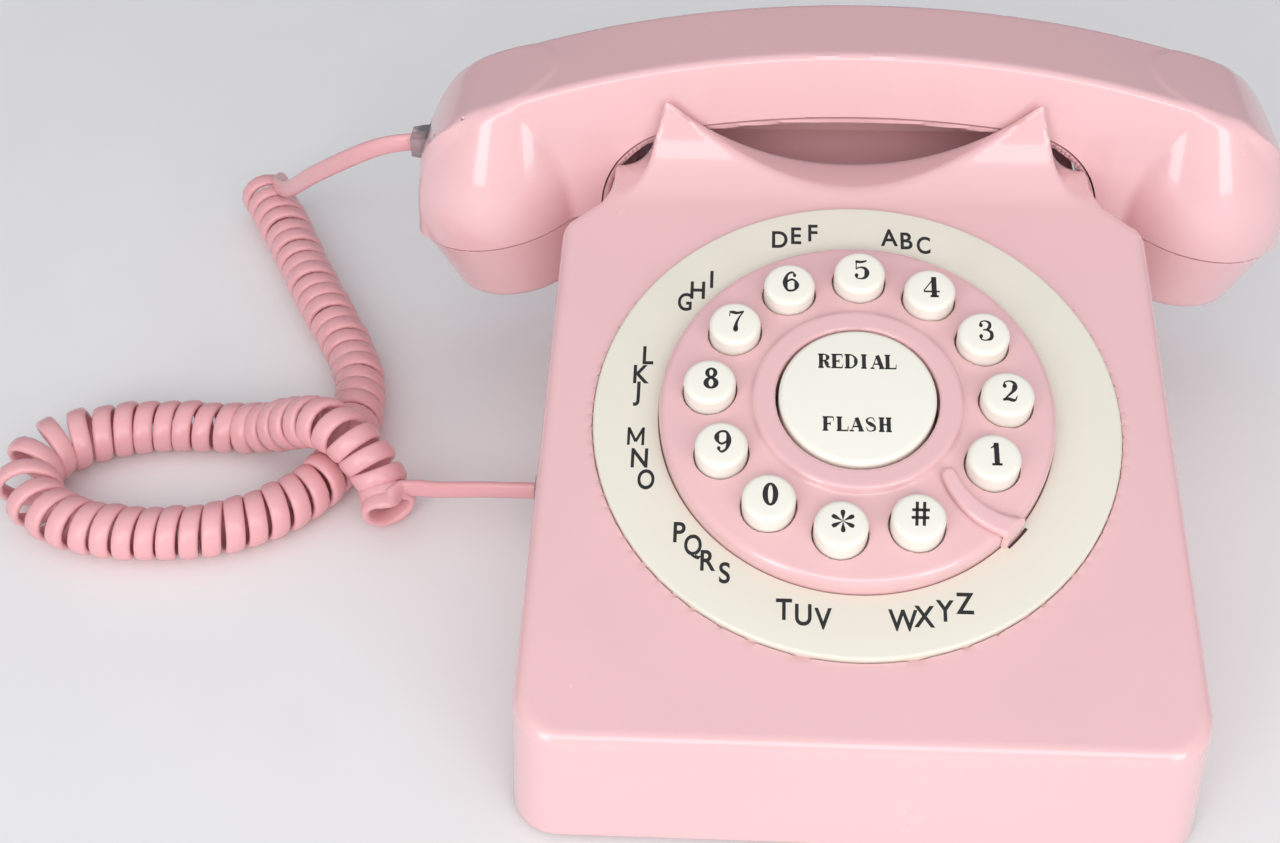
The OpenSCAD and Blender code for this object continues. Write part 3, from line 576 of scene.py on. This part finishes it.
BOLD, FINE = 0.28, 0.1
STEM = [(0.28, 0, BOLD), (0.28, 1, BOLD)]
STEM_FEET = [[(0.08, 0.033, FINE), (0.48, 0.033, FINE)], [(0.08, 0.967, FINE), (0.48, 0.967, FINE)]]
SIX = [(0.72, 0.85, 0.07), (0.56, 0.965, FINE), (0.3, 0.83, 0.13), (0.18, 0.45, BOLD),
       (0.28, 0.1, 0.13), (0.5, 0.03, FINE), (0.72, 0.1, 0.12), (0.82, 0.31, BOLD),
       (0.72, 0.53, 0.12), (0.52, 0.6, FINE), (0.26, 0.48, FINE)]
STROKES = {
    "1": [[(0.52, 0, BOLD), (0.52, 1, BOLD)], [(0.24, 0.78, 0.05), (0.36, 0.83, 0.08), (0.5, 0.96, 0.09)],
          [(0.24, 0.033, FINE), (0.8, 0.033, FINE)]],
    "2": [[(0.19, 0.72, 0.1), (0.25, 0.9, 0.07), (0.48, 0.97, 0.06), (0.74, 0.88, 0.15), (0.77, 0.68, BOLD),
           (0.62, 0.46, 0.14), (0.34, 0.24, 0.08), (0.16, 0.08, 0.06)],
          [(0.16, 0.1, 0.12), (0.38, 0.13, 0.15), (0.62, 0.07, 0.15), (0.78, 0.1, 0.08), (0.86, 0.26, 0.05)]],
    "3": [[(0.22, 0.76, 0.1), (0.28, 0.92, 0.07), (0.5, 0.97, 0.06), (0.73, 0.86, 0.15), (0.71, 0.66, 0.17),
           (0.56, 0.56, 0.07), (0.38, 0.53, 0.06)],
          [(0.4, 0.53, 0.06), (0.62, 0.51, 0.09), (0.81, 0.38, 0.18), (0.78, 0.14, 0.18), (0.52, 0.03, 0.06),
           (0.26, 0.07, 0.07), (0.19, 0.22, 0.1)]],
    "4": [[(0.64, 0, BOLD), (0.64, 1, BOLD)], [(0.66, 0.96, 0.06), (0.07, 0.3, 0.06)],
          [(0.07, 0.27, 0.08), (0.94, 0.27, 0.08)], [(0.42, 0.033, FINE), (0.88, 0.033, FINE)]],
    "5": [[(0.24, 0.9, 0.13), (0.5, 0.88, 0.12), (0.78, 0.94, 0.08)],
          [(0.23, 0.93, 0.06), (0.22, 0.52, 0.06)],
          [(0.22, 0.53, 0.06), (0.45, 0.61, 0.07), (0.72, 0.54, 0.16), (0.81, 0.32, BOLD), (0.7, 0.1, 0.15),
           (0.46, 0.03, 0.06), (0.24, 0.08, 0.07), (0.18, 0.21, 0.1)]],
    "6": [SIX],
    "7": [[(0.13, 0.92, 0.07), (0.3, 0.9, 0.15), (0.55, 0.87, 0.13), (0.87, 0.95, 0.07)],
          [(0.13, 0.96, 0.05), (0.12, 0.7, 0.05)],
          [(0.86, 0.93, 0.06), (0.65, 0.66, 0.09), (0.5, 0.36, 0.16), (0.46, 0.08, BOLD)]],
    "9": [[(1 - x, 1 - y, w) for x, y, w in SIX]],
    "hash": [[(0.29, 0.0, 0.15), (0.36, 1.0, 0.15)], [(0.64, 0.0, 0.15), (0.71, 1.0, 0.15)],
             [(0.06, 0.34, 0.12), (0.9, 0.34, 0.12)], [(0.1, 0.66, 0.12), (0.94, 0.66, 0.12)]],
    "R": [STEM, *STEM_FEET, [(0.3, 0.967, FINE), (0.6, 0.95, 0.08), (0.76, 0.76, BOLD), (0.62, 0.55, 0.08),
                             (0.3, 0.52, FINE)],
          [(0.5, 0.52, 0.1), (0.68, 0.34, BOLD), (0.76, 0.1, 0.17), (0.96, 0.05, 0.06)]],
    "E": [STEM, *STEM_FEET, [(0.4, 0.967, FINE), (0.84, 0.967, FINE)],
          [(0.4, 0.033, FINE), (0.86, 0.033, FINE)],
          [(0.3, 0.5, FINE), (0.62, 0.5, FINE)], [(0.84, 0.98, 0.06), (0.86, 0.72, 0.04)],
          [(0.86, 0.02, 0.06), (0.9, 0.3, 0.04)], [(0.63, 0.63, 0.05), (0.63, 0.37, 0.05)]],
    "D": [STEM, *STEM_FEET, [(0.3, 0.967, FINE), (0.6, 0.94, 0.09), (0.84, 0.72, 0.18), (0.87, 0.5, BOLD),
                             (0.84, 0.28, 0.18), (0.6, 0.06, 0.09), (0.3, 0.033, FINE)]],
    "I": [[(0.5, 0, BOLD), (0.5, 1, BOLD)], [(0.3, 0.033, FINE), (0.7, 0.033, FINE)],
          [(0.3, 0.967, FINE), (0.7, 0.967, FINE)]],
    "A": [[(0.14, 0.04, 0.06), (0.49, 0.96, 0.07)], [(0.5, 0.95, BOLD), (0.83, 0.04, BOLD)],
          [(0.25, 0.33, FINE), (0.7, 0.33, FINE)], [(0.0, 0.033, FINE), (0.3, 0.033, FINE)],
          [(0.62, 0.033, FINE), (1.0, 0.033, FINE)]],
    "L": [STEM, *STEM_FEET, [(0.4, 0.033, FINE), (0.86, 0.033, FINE)],
          [(0.86, 0.02, 0.07), (0.9, 0.34, 0.04)]],
    "F": [STEM, *STEM_FEET, [(0.4, 0.967, FINE), (0.84, 0.967, FINE)],
          [(0.3, 0.5, FINE), (0.62, 0.5, FINE)],
          [(0.84, 0.98, 0.06), (0.87, 0.68, 0.04)], [(0.63, 0.63, 0.05), (0.63, 0.37, 0.05)]],
    "S": [[(0.76, 0.73, 0.05), (0.68, 0.93, 0.07), (0.46, 0.97, 0.07), (0.25, 0.85, 0.13), (0.27, 0.66, 0.18),
           (0.5, 0.52, BOLD), (0.76, 0.36, 0.18), (0.77, 0.14, 0.14), (0.54, 0.03, 0.07), (0.3, 0.08, 0.07),
           (0.2, 0.28, 0.05)]],
    "H": [STEM, *STEM_FEET, [(0.78, 0, BOLD), (0.78, 1, BOLD)], [(0.58, 0.033, FINE), (0.98, 0.033, FINE)],
          [(0.58, 0.967, FINE), (0.98, 0.967, FINE)], [(0.3, 0.5, FINE), (0.76, 0.5, FINE)]],
}
DOTS = {"2": [(0.24, 0.74, 0.1)], "3": [(0.26, 0.76, 0.1), (0.24, 0.22, 0.1)], "5": [(0.24, 0.2, 0.1)],
        "6": [(0.7, 0.81, 0.09)], "9": [(0.3, 0.19, 0.09)]}


def glyph(sign):
    if sign == "0":
        return loop(0.5, 0.5, 0.27, 0.455, BOLD, FINE)
    if sign == "8":
        return loop(0.5, 0.755, 0.22, 0.2, 0.22, FINE) + loop(0.5, 0.275, 0.27, 0.23, BOLD, FINE)
    if sign == "star":
        return petals()
    outlines = [piece for stroke in STROKES[sign] for piece in ribbon(stroke)]
    return outlines + [disc(*dot) for dot in DOTS.get(sign, [])]


def write(signs, x, y, width, height, pitch):
    """Outlines of a row of signs, centred at x, y."""
    found = []
    for i, sign in enumerate(signs):
        left = x + (i - (len(signs) - 1) / 2) * pitch - width / 2
        found += [[(left + a * width, y + (b - 0.5) * height) for a, b in piece] for piece in glyph(sign)]
    return found


def make_serif_print():
    for key, u, v in key_places():
        width = {"1": 3.9, "star": 5.6, "hash": 4.4}.get(key, 4.1)
        height = {"star": 5.6, "hash": 5.7}.get(key, 5.5)
        mesh = slab("key_%s_sign" % key, write([key], u + 0.3, v + 0.5, width, height, 0),
                    KEY_TOP - PRINT_DEPTH, KEY_TOP + PRINT_PROUD, DIAL)
        add_object("key_%s_sign" % key, mesh, "print_black", "key_%s_cap" % key)
    outlines = write("REDIAL", 0, 8.8, 3.1, 3.7, 2.95) + write("FLASH", -0.4, -7.5, 3.1, 3.6, 3.05)
    mesh = slab("rocker_words", outlines, ROCKER_TOP - PRINT_DEPTH, ROCKER_TOP + PRINT_PROUD, DIAL)
    add_object("rocker_words", mesh, "print_black", "rocker")


# Each group's letters, the angle of its middle, the step from one letter to the next, and their radius
RING_GROUPS = [("ABC", 75.3, -4.7, 50.9), ("DEF", 104.8, -4.5, 52), ("GHI", 137, -5.2, 49.7),
               ("JKL", 168.2, -6.2, 49.6), ("MNO", 194, 6.6, 49.4), ("PQRS", 226.4, 5.4, 48.9),
               ("TUV", 256.7, 4.8, 50.5), ("WXYZ", 288.3, 5.2, 50.7)]
RING_LETTER_H, RING_LETTER_W = 4.6, 0.81
ROUND_LETTERS, ROUND_W = "CGOQ", 0.88
BFONT_CAP, LETTER_HALF = 0.666, 0.012
PLAIN_M = [[(0.1, 0, 0.15), (0.1, 1, 0.15)], [(0.1, 0.96, 0.15), (0.5, 0.2, 0.15)],
           [(0.5, 0.2, 0.15), (0.9, 0.96, 0.15)], [(0.9, 1, 0.15), (0.9, 0, 0.15)]]


def letter_mesh(letter):
    """One plain capital as a thin closed plate. M is drawn with the pen, because the font's fills badly."""
    if letter == "M":
        return slab("letter_M", [[(x / MM * 0.72, y / MM * BFONT_CAP) for x, y in piece]
                                 for stroke in PLAIN_M for piece in ribbon(stroke)],
                    -LETTER_HALF / MM, LETTER_HALF / MM, None)
    curve = bpy.data.curves.new("letter_" + letter, "FONT")
    curve.body, curve.size = letter, 1
    curve.align_x, curve.align_y = "CENTER", "CENTER"
    curve.extrude, curve.offset, curve.resolution_u = LETTER_HALF, 0.018, 6
    made = bpy.data.objects.new("letter_" + letter, curve)
    bpy.context.scene.collection.objects.link(made)
    mesh = bpy.data.meshes.new_from_object(made.evaluated_get(bpy.context.evaluated_depsgraph_get()))
    bpy.data.objects.remove(made)
    return mesh


def make_ring_letters():
    points, faces = [], []
    for group, centre, step, out in RING_GROUPS:
        for i, letter in enumerate(group):
            angle = radians(centre + step * (i - (len(group) - 1) / 2))
            mesh = letter_mesh(letter)
            tall = RING_LETTER_H / BFONT_CAP
            co = np.array([v.co for v in mesh.vertices])
            co[:, :2] -= (co[:, :2].max(0) + co[:, :2].min(0)) / 2
            co *= (tall * RING_LETTER_W * (ROUND_W if letter in ROUND_LETTERS else 1), tall, 1)
            co[:, 2] = np.where(co[:, 2] > 0, 0.035, -PRINT_DEPTH)
            co += (out * cos(angle), out * sin(angle), 0)
            start = len(points)
            points += co.tolist()
            faces += [[start + v for v in f.vertices] for f in mesh.polygons]
    mesh = mesh_from("ring_letters", points, faces, DIAL)
    add_object("ring_letters", mesh, "print_black", "base")


# Handset ---------------------------------------------------------------

def handset_outside(x, y, z):
    """Distances of the whole handset and of its parting, negative in the lower shell."""
    side_x, y = np.abs(x), y - HANDSET_Y
    top = np.hypot(x, z - BACK_Z) - BACK_R
    end = (side_x - END_X) * cos(END_LEAN) + (z - END_Z) * sin(END_LEAN)
    end = round_max(end, side_x - END_LIMIT, 4)
    outline = round_max(top, end, 12)
    under = np.maximum(np.hypot(x, z - UNDER_Z) - UNDER_R, side_x - UNDER_HALF)
    cheek = np.hypot(side_x - ARCH_X, z - ARCH_Z) - ARCH_R
    gap = np.minimum(np.minimum(under, cheek), np.maximum(side_x - ARCH_X - ARCH_R, z - ARCH_Z))
    handle = round_max(outline, -gap, 0.9)
    half = np.abs(y) - np.where(z < HANDLE_Z, HANDLE_HALF + 1.6 * (HANDLE_Z - z) / 55,
                                HANDLE_HALF - 2 * (z - HANDLE_Z) / 21)
    handle = round_max(handle, half, 1.7)
    handle = np.maximum(handle, round_max(end, half, 10))
    out, up = side_x - CUP_X, z - PART_Z
    u = out * sin(CAP_TILT) + up * cos(CAP_TILT)
    across = np.hypot(out * cos(CAP_TILT) - up * sin(CAP_TILT), y)
    out, up = side_x - CUP_FOOT_X, z - CUP_FOOT_Z
    w = -out * sin(CUP_LEAN) + up * cos(CUP_LEAN)
    r = np.hypot(out * cos(CUP_LEAN) + up * sin(CUP_LEAN), y)
    cup = r - CUP_R - 0.6 + 0.2 * (w - 9 + np.hypot(w - 9, 9)) + 0.011 * np.maximum(6 - w, 0) ** 2
    cup = round_max(cup, outline, 2)
    upper = np.maximum(round_min(handle, cup, 0.9), -u)
    cap = np.maximum(round_max(across - CAP_R - CAP_FLARE * u, -CAP_H - u, 3), u)
    return np.minimum(upper, cap), u


def parting(x, y, z, u):
    side_x = np.abs(x)
    cheek = np.hypot(side_x - ARCH_X, z - ARCH_Z) - ARCH_R - STRIP
    under = np.maximum(np.hypot(x, z - UNDER_Z) - UNDER_R - STRIP, side_x - UNDER_HALF)
    return round_min(round_min(u, cheek, 4), under, 0.3)


def handset_shell(x, y, z):
    outside, u = handset_outside(x, y, z)
    shell = np.maximum(outside, -(outside + WALL))
    return np.maximum(shell, -box_field(x, y - HANDSET_Y, z, *JACK_OPENING)), u


def handset_upper(x, y, z):
    shell, u = handset_shell(x, y, z)
    return np.maximum(shell, PART_GAP - parting(x, y, z, u))


def handset_lower(x, y, z):
    shell, u = handset_shell(x, y, z)
    shell = np.maximum(shell, parting(x, y, z, u) + PART_GAP)
    screws = np.hypot(np.abs(x) - SCREW_X, y - HANDSET_Y) - SCREW_HOLE_R
    shell = np.maximum(shell, -np.maximum(screws, z - SCREW_HOLE_TOP))
    out, up, y = np.abs(x) - CUP_X, z - PART_Z, y - HANDSET_Y
    t = out * cos(CAP_TILT) - up * sin(CAP_TILT)
    for side, holes in ((1, RECEIVER_HOLES), (-1, MICROPHONE_HOLES)):
        for a, b in holes:
            hole = np.maximum(np.hypot(t - a, y - b) - SOUND_HOLE_R, -side * x)
            shell = np.maximum(shell, -hole)
    return shell


def make_handset():
    low, high = (-116, 44, 28), (116, 98, 107)
    for half, field in (("upper", handset_upper), ("lower", handset_lower)):
        name = "handset_%s_visual" % half
        made = add_object(name, contour(name, field, low, high, 0.95), "case_pink", "handset")
        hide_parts("handset_%s_shell" % half)


# Cord ------------------------------------------------------------------

def spline(points, step):
    """Evenly spaced points along a smooth curve through the given ones."""
    p = np.array(points, float)
    p = np.vstack([2 * p[0] - p[1], p, 2 * p[-1] - p[-2]])
    t = np.linspace(0, 1, 24, endpoint=False)[:, None]
    found = [0.5 * (2 * b + (c - a) * t + (2 * a - 5 * b + 4 * c - d) * t ** 2
                    + (3 * b - a - 3 * c + d) * t ** 3)
             for a, b, c, d in zip(p, p[1:], p[2:], p[3:])]
    found = np.vstack(found + [p[-2:-1]])
    return evenly(found, step)


def evenly(points, step):
    gone = np.concatenate([[0], np.cumsum(np.linalg.norm(np.diff(points, axis=0), axis=1))])
    count = max(2, int(round(gone[-1] / step)) + 1)
    at = np.linspace(0, gone[-1], count)
    return np.stack([np.interp(at, gone, points[:, i]) for i in range(3)], 1)


def coil_points():
    """The helix's centreline, and the direction of the cord's width at each of its points."""
    axis = spline(COIL_AXIS, AXIS_STEP)
    tangent = np.gradient(axis, axis=0)
    tangent /= np.linalg.norm(tangent, axis=1, keepdims=True)
    side = np.cross(tangent, (0, 0, 1))
    side /= np.linalg.norm(side, axis=1, keepdims=True)
    up = np.cross(side, tangent)
    gone = np.arange(len(axis)) * AXIS_STEP
    bend = np.exp(-((gone - BEND_AT) / BEND_SPAN) ** 2)
    rise = np.exp(-((gone - RISE_AT) / RISE_SPAN) ** 2)
    far = np.clip(1 - gone / FAR_SPAN, 0, 1)
    pitch = COIL_PITCH * (1 + 0.55 * bend + 0.22 * rise + 0.2 * far)
    turn = np.cumsum(2 * pi * AXIS_STEP / pitch)
    radius = COIL_R * (1 + 0.3 * bend + 0.15 * far)
    radius = radius * (1 + 0.02 * np.sin(turn * 0.37) + 0.015 * np.sin(turn * 0.113))
    start, turns = pi, int(turn[-1] / (2 * pi)) - 1
    whole = np.linspace(0, (turns + 0.75) * 2 * pi, TURN_POINTS * turns + TURN_POINTS * 3 // 4 + 1)
    at = np.interp(whole, turn * whole[-1] / turn[-1], np.arange(len(axis)))

    def take(values):
        return np.stack([np.interp(at, np.arange(len(axis)), values[:, i]) for i in range(3)], 1)
    r = np.interp(at, np.arange(len(axis)), radius)[:, None]
    whole = whole[:, None] + start
    centre = take(axis) + r * (np.cos(whole) * take(side) + np.sin(whole) * take(up))
    centre[:, 2:] += r - COIL_R
    return centre, take(tangent)


def bridge(before, after):
    """A smooth curve from the end of one line to the start of the next."""
    a, b = before[-1], after[0]
    reach = max(np.linalg.norm(b - a), 3)
    leave = (before[-1] - before[-2]) / np.linalg.norm(before[-1] - before[-2]) * reach
    arrive = (after[1] - after[0]) / np.linalg.norm(after[1] - after[0]) * reach
    t = np.linspace(0, 1, BRIDGE_POINTS)[:, None]
    return ((2 * t ** 3 - 3 * t ** 2 + 1) * a + (t ** 3 - 2 * t ** 2 + t) * leave
            + (3 * t ** 2 - 2 * t ** 3) * b + (t ** 3 - t ** 2) * arrive)


def bridge_width(a, b):
    b = b if a @ b > 0 else -b
    t = np.linspace(0, 1, BRIDGE_POINTS)[:, None]
    return a * (1 - t) + b * t


def clear_plug(name, x0, x1, y, z, body):
    """A modular plug along x with its latch underneath and four contacts at its inner end."""
    def field(px, py, pz):
        py, pz = py - y, pz - z
        wide, tall = np.abs(py) - PLUG_HALF_W, np.abs(pz) - PLUG_HALF_H
        case = round_max(round_max(wide, tall, 0.6), np.maximum(x0 - px, px - x1), 0.5)
        inset = 0.5 * np.maximum(x0 + PLUG_TAPER - px, 0) * 0.3
        taper = np.maximum(np.maximum(wide + inset, tall + inset), case)
        latch = box_field(px, py, pz, x0 + 2, x1 - 2, -1.5, 1.5, -4.2, -3.4)
        hinge = box_field(px, py, pz, x1 - 4, x1 - 2, -1.5, 1.5, -3.6, -2.8)
        return np.minimum(np.minimum(taper, latch), hinge)
    mesh = contour(name, field, (x0 - 1, y - 5, z - 5.2), (x1 + 1, y + 5, z + 4.2), 0.45)
    made = add_object(name, mesh, "plug_clear", body)
    pins = [[(x1 - 3.5, y + a - 0.25), (x1 - 0.6, y + a - 0.25), (x1 - 0.6, y + a + 0.25),
             (x1 - 3.5, y + a + 0.25)] for a in (-1.5, -0.5, 0.5, 1.5)]
    pins = add_object(name + "_contacts", slab(name + "_contacts", pins, z + 1.4, z + 2.7, None),
                      "brass_contact", body)
    return made, pins


def make_cord():
    base_plug, base_pins = clear_plug("base_plug_visual", *BASE_PLUG, "base")
    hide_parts("base_plug")
    top_plug, top_pins = clear_plug("handset_plug_visual", *HANDSET_PLUG, "handset")
    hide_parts("handset_plug")
    helix, width = coil_points()
    first = spline([HANDSET_LEAD_END] + HANDSET_LEAD, LEAD_STEP)
    last = spline(BASE_LEAD + [BASE_LEAD_END], LEAD_STEP)
    upright = np.array([[0.0, 0.0, 1.0]])
    path = np.vstack([first[:-1], bridge(first, helix), helix[1:-1], bridge(helix, last), last[1:]])
    wide = np.vstack([np.repeat(upright, len(first) - 1, 0), bridge_width(upright[0], width[0]), width[1:-1],
                      bridge_width(width[-1], upright[0]), np.repeat(upright, len(last) - 1, 0)])
    path, wide = path[::-1], wide[::-1].copy()
    tangent = np.gradient(path, axis=0)
    tangent /= np.linalg.norm(tangent, axis=1, keepdims=True)
    wide -= tangent * np.einsum("ij,ij->i", wide, tangent)[:, None]
    wide /= np.linalg.norm(wide, axis=1, keepdims=True)
    for i in range(1, len(wide)):
        if wide[i] @ wide[i - 1] < 0:
            wide[i] = -wide[i]
    thick = np.cross(tangent, wide)
    angles = np.arange(12) * 2 * pi / 12
    across, through = np.cos(angles), np.sin(angles)
    section = np.stack([np.sign(across) * np.abs(across) ** 0.75 * CORD_W / 2,
                        np.sign(through) * np.abs(through) ** 0.75 * CORD_T / 2], 1)
    rings = path[:, None] + wide[:, None] * section[None, :, :1] + thick[:, None] * section[None, :, 1:]
    n, m = len(path), len(section)
    faces = [(i * m + k, i * m + (k + 1) % m, (i + 1) * m + (k + 1) % m, (i + 1) * m + k)
             for i in range(n - 1) for k in range(m)]
    faces.append(tuple(range(m))[::-1])
    faces.append(tuple((n - 1) * m + k for k in range(m)))
    mesh = mesh_from("cord", rings.reshape(-1, 3), faces)
    made = bpy.data.objects.new("cord", mesh)
    bpy.context.scene.collection.objects.link(made)
    mesh.materials.append(MATERIALS["cord_pink"])
    mesh.shade_smooth()
    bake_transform(made)
    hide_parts("coiled_cord", "handset_lead", "base_lead")


# Studio ----------------------------------------------------------------

def area_light(name, place, target, size, power):
    data = bpy.data.lights.new(name, "AREA")
    data.shape = "RECTANGLE"
    data.size, data.size_y = size
    data.energy = power
    lamp = bpy.data.objects.new(name, data)
    bpy.context.scene.collection.objects.link(lamp)
    lamp.location = place
    lamp.rotation_euler = (Vector(target) - Vector(place)).to_track_quat("-Z", "Y").to_euler()


def make_studio():
    mesh = bpy.data.meshes.new("floor")
    half = 3
    mesh.from_pydata([(-half, -half, 0), (half, -half, 0), (half, half, 0), (-half, half, 0)], [],
                     [(0, 1, 2, 3)])
    floor = bpy.data.objects.new("floor", mesh)
    bpy.context.scene.collection.objects.link(floor)
    mesh.materials.append(material("floor_paint", (0.9, 0.9, 0.9), 0.6, 0.005))
    world = bpy.data.worlds.new("studio")
    bpy.context.scene.world = world
    world.use_nodes = True
    nodes, links = world.node_tree.nodes, world.node_tree.links
    place, facing = nodes.new("ShaderNodeTexCoord"), nodes.new("ShaderNodeVectorMath")
    facing.operation = "DOT_PRODUCT"
    facing.inputs[1].default_value = SKY_TOWARDS
    shade, tint = nodes.new("ShaderNodeMapRange"), nodes.new("ShaderNodeMix")
    shade.inputs["From Min"].default_value, shade.inputs["From Max"].default_value = -0.1, 0.9
    shade.inputs["To Min"].default_value, shade.inputs["To Max"].default_value = SKY_LOW, SKY_HIGH
    tint.data_type = "RGBA"
    tint.inputs["A"].default_value = (0.88, 0.89, 1, 1)
    tint.inputs["B"].default_value = (1, 1, 1, 1)
    links.new(place.outputs["Generated"], facing.inputs[0])
    links.new(facing.outputs["Value"], shade.inputs["Value"])
    links.new(facing.outputs["Value"], tint.inputs["Factor"])
    links.new(tint.outputs["Result"], nodes["Background"].inputs["Color"])
    links.new(shade.outputs["Result"], nodes["Background"].inputs["Strength"])
    area_light("softbox_left", (-0.55, -0.86, 0.3), AIM, SOFTBOX_SIZE, SOFTBOX_POWER)
    area_light("softbox_right", (0.6, -0.83, 0.3), AIM, SOFTBOX_SIZE, SOFTBOX_POWER)
    area_light("key_front", (0, -1.0, 0.75), AIM, (1.4, 0.5), 5.2)
    bpy.context.scene.view_settings.view_transform = "Standard"


# Build -----------------------------------------------------------------

MATERIALS = make_materials()
make_camera()
make_cord()
make_base()
make_dial()
make_finger_stop()
make_serif_print()
make_ring_letters()
make_handset()
for entry in frame["record"]["subparts"]:
    node = frame["nodes"][entry["node"]]
    node.data.materials.clear()
    node.data.materials.append(MATERIALS[entry["material_slot"]])
make_studio()
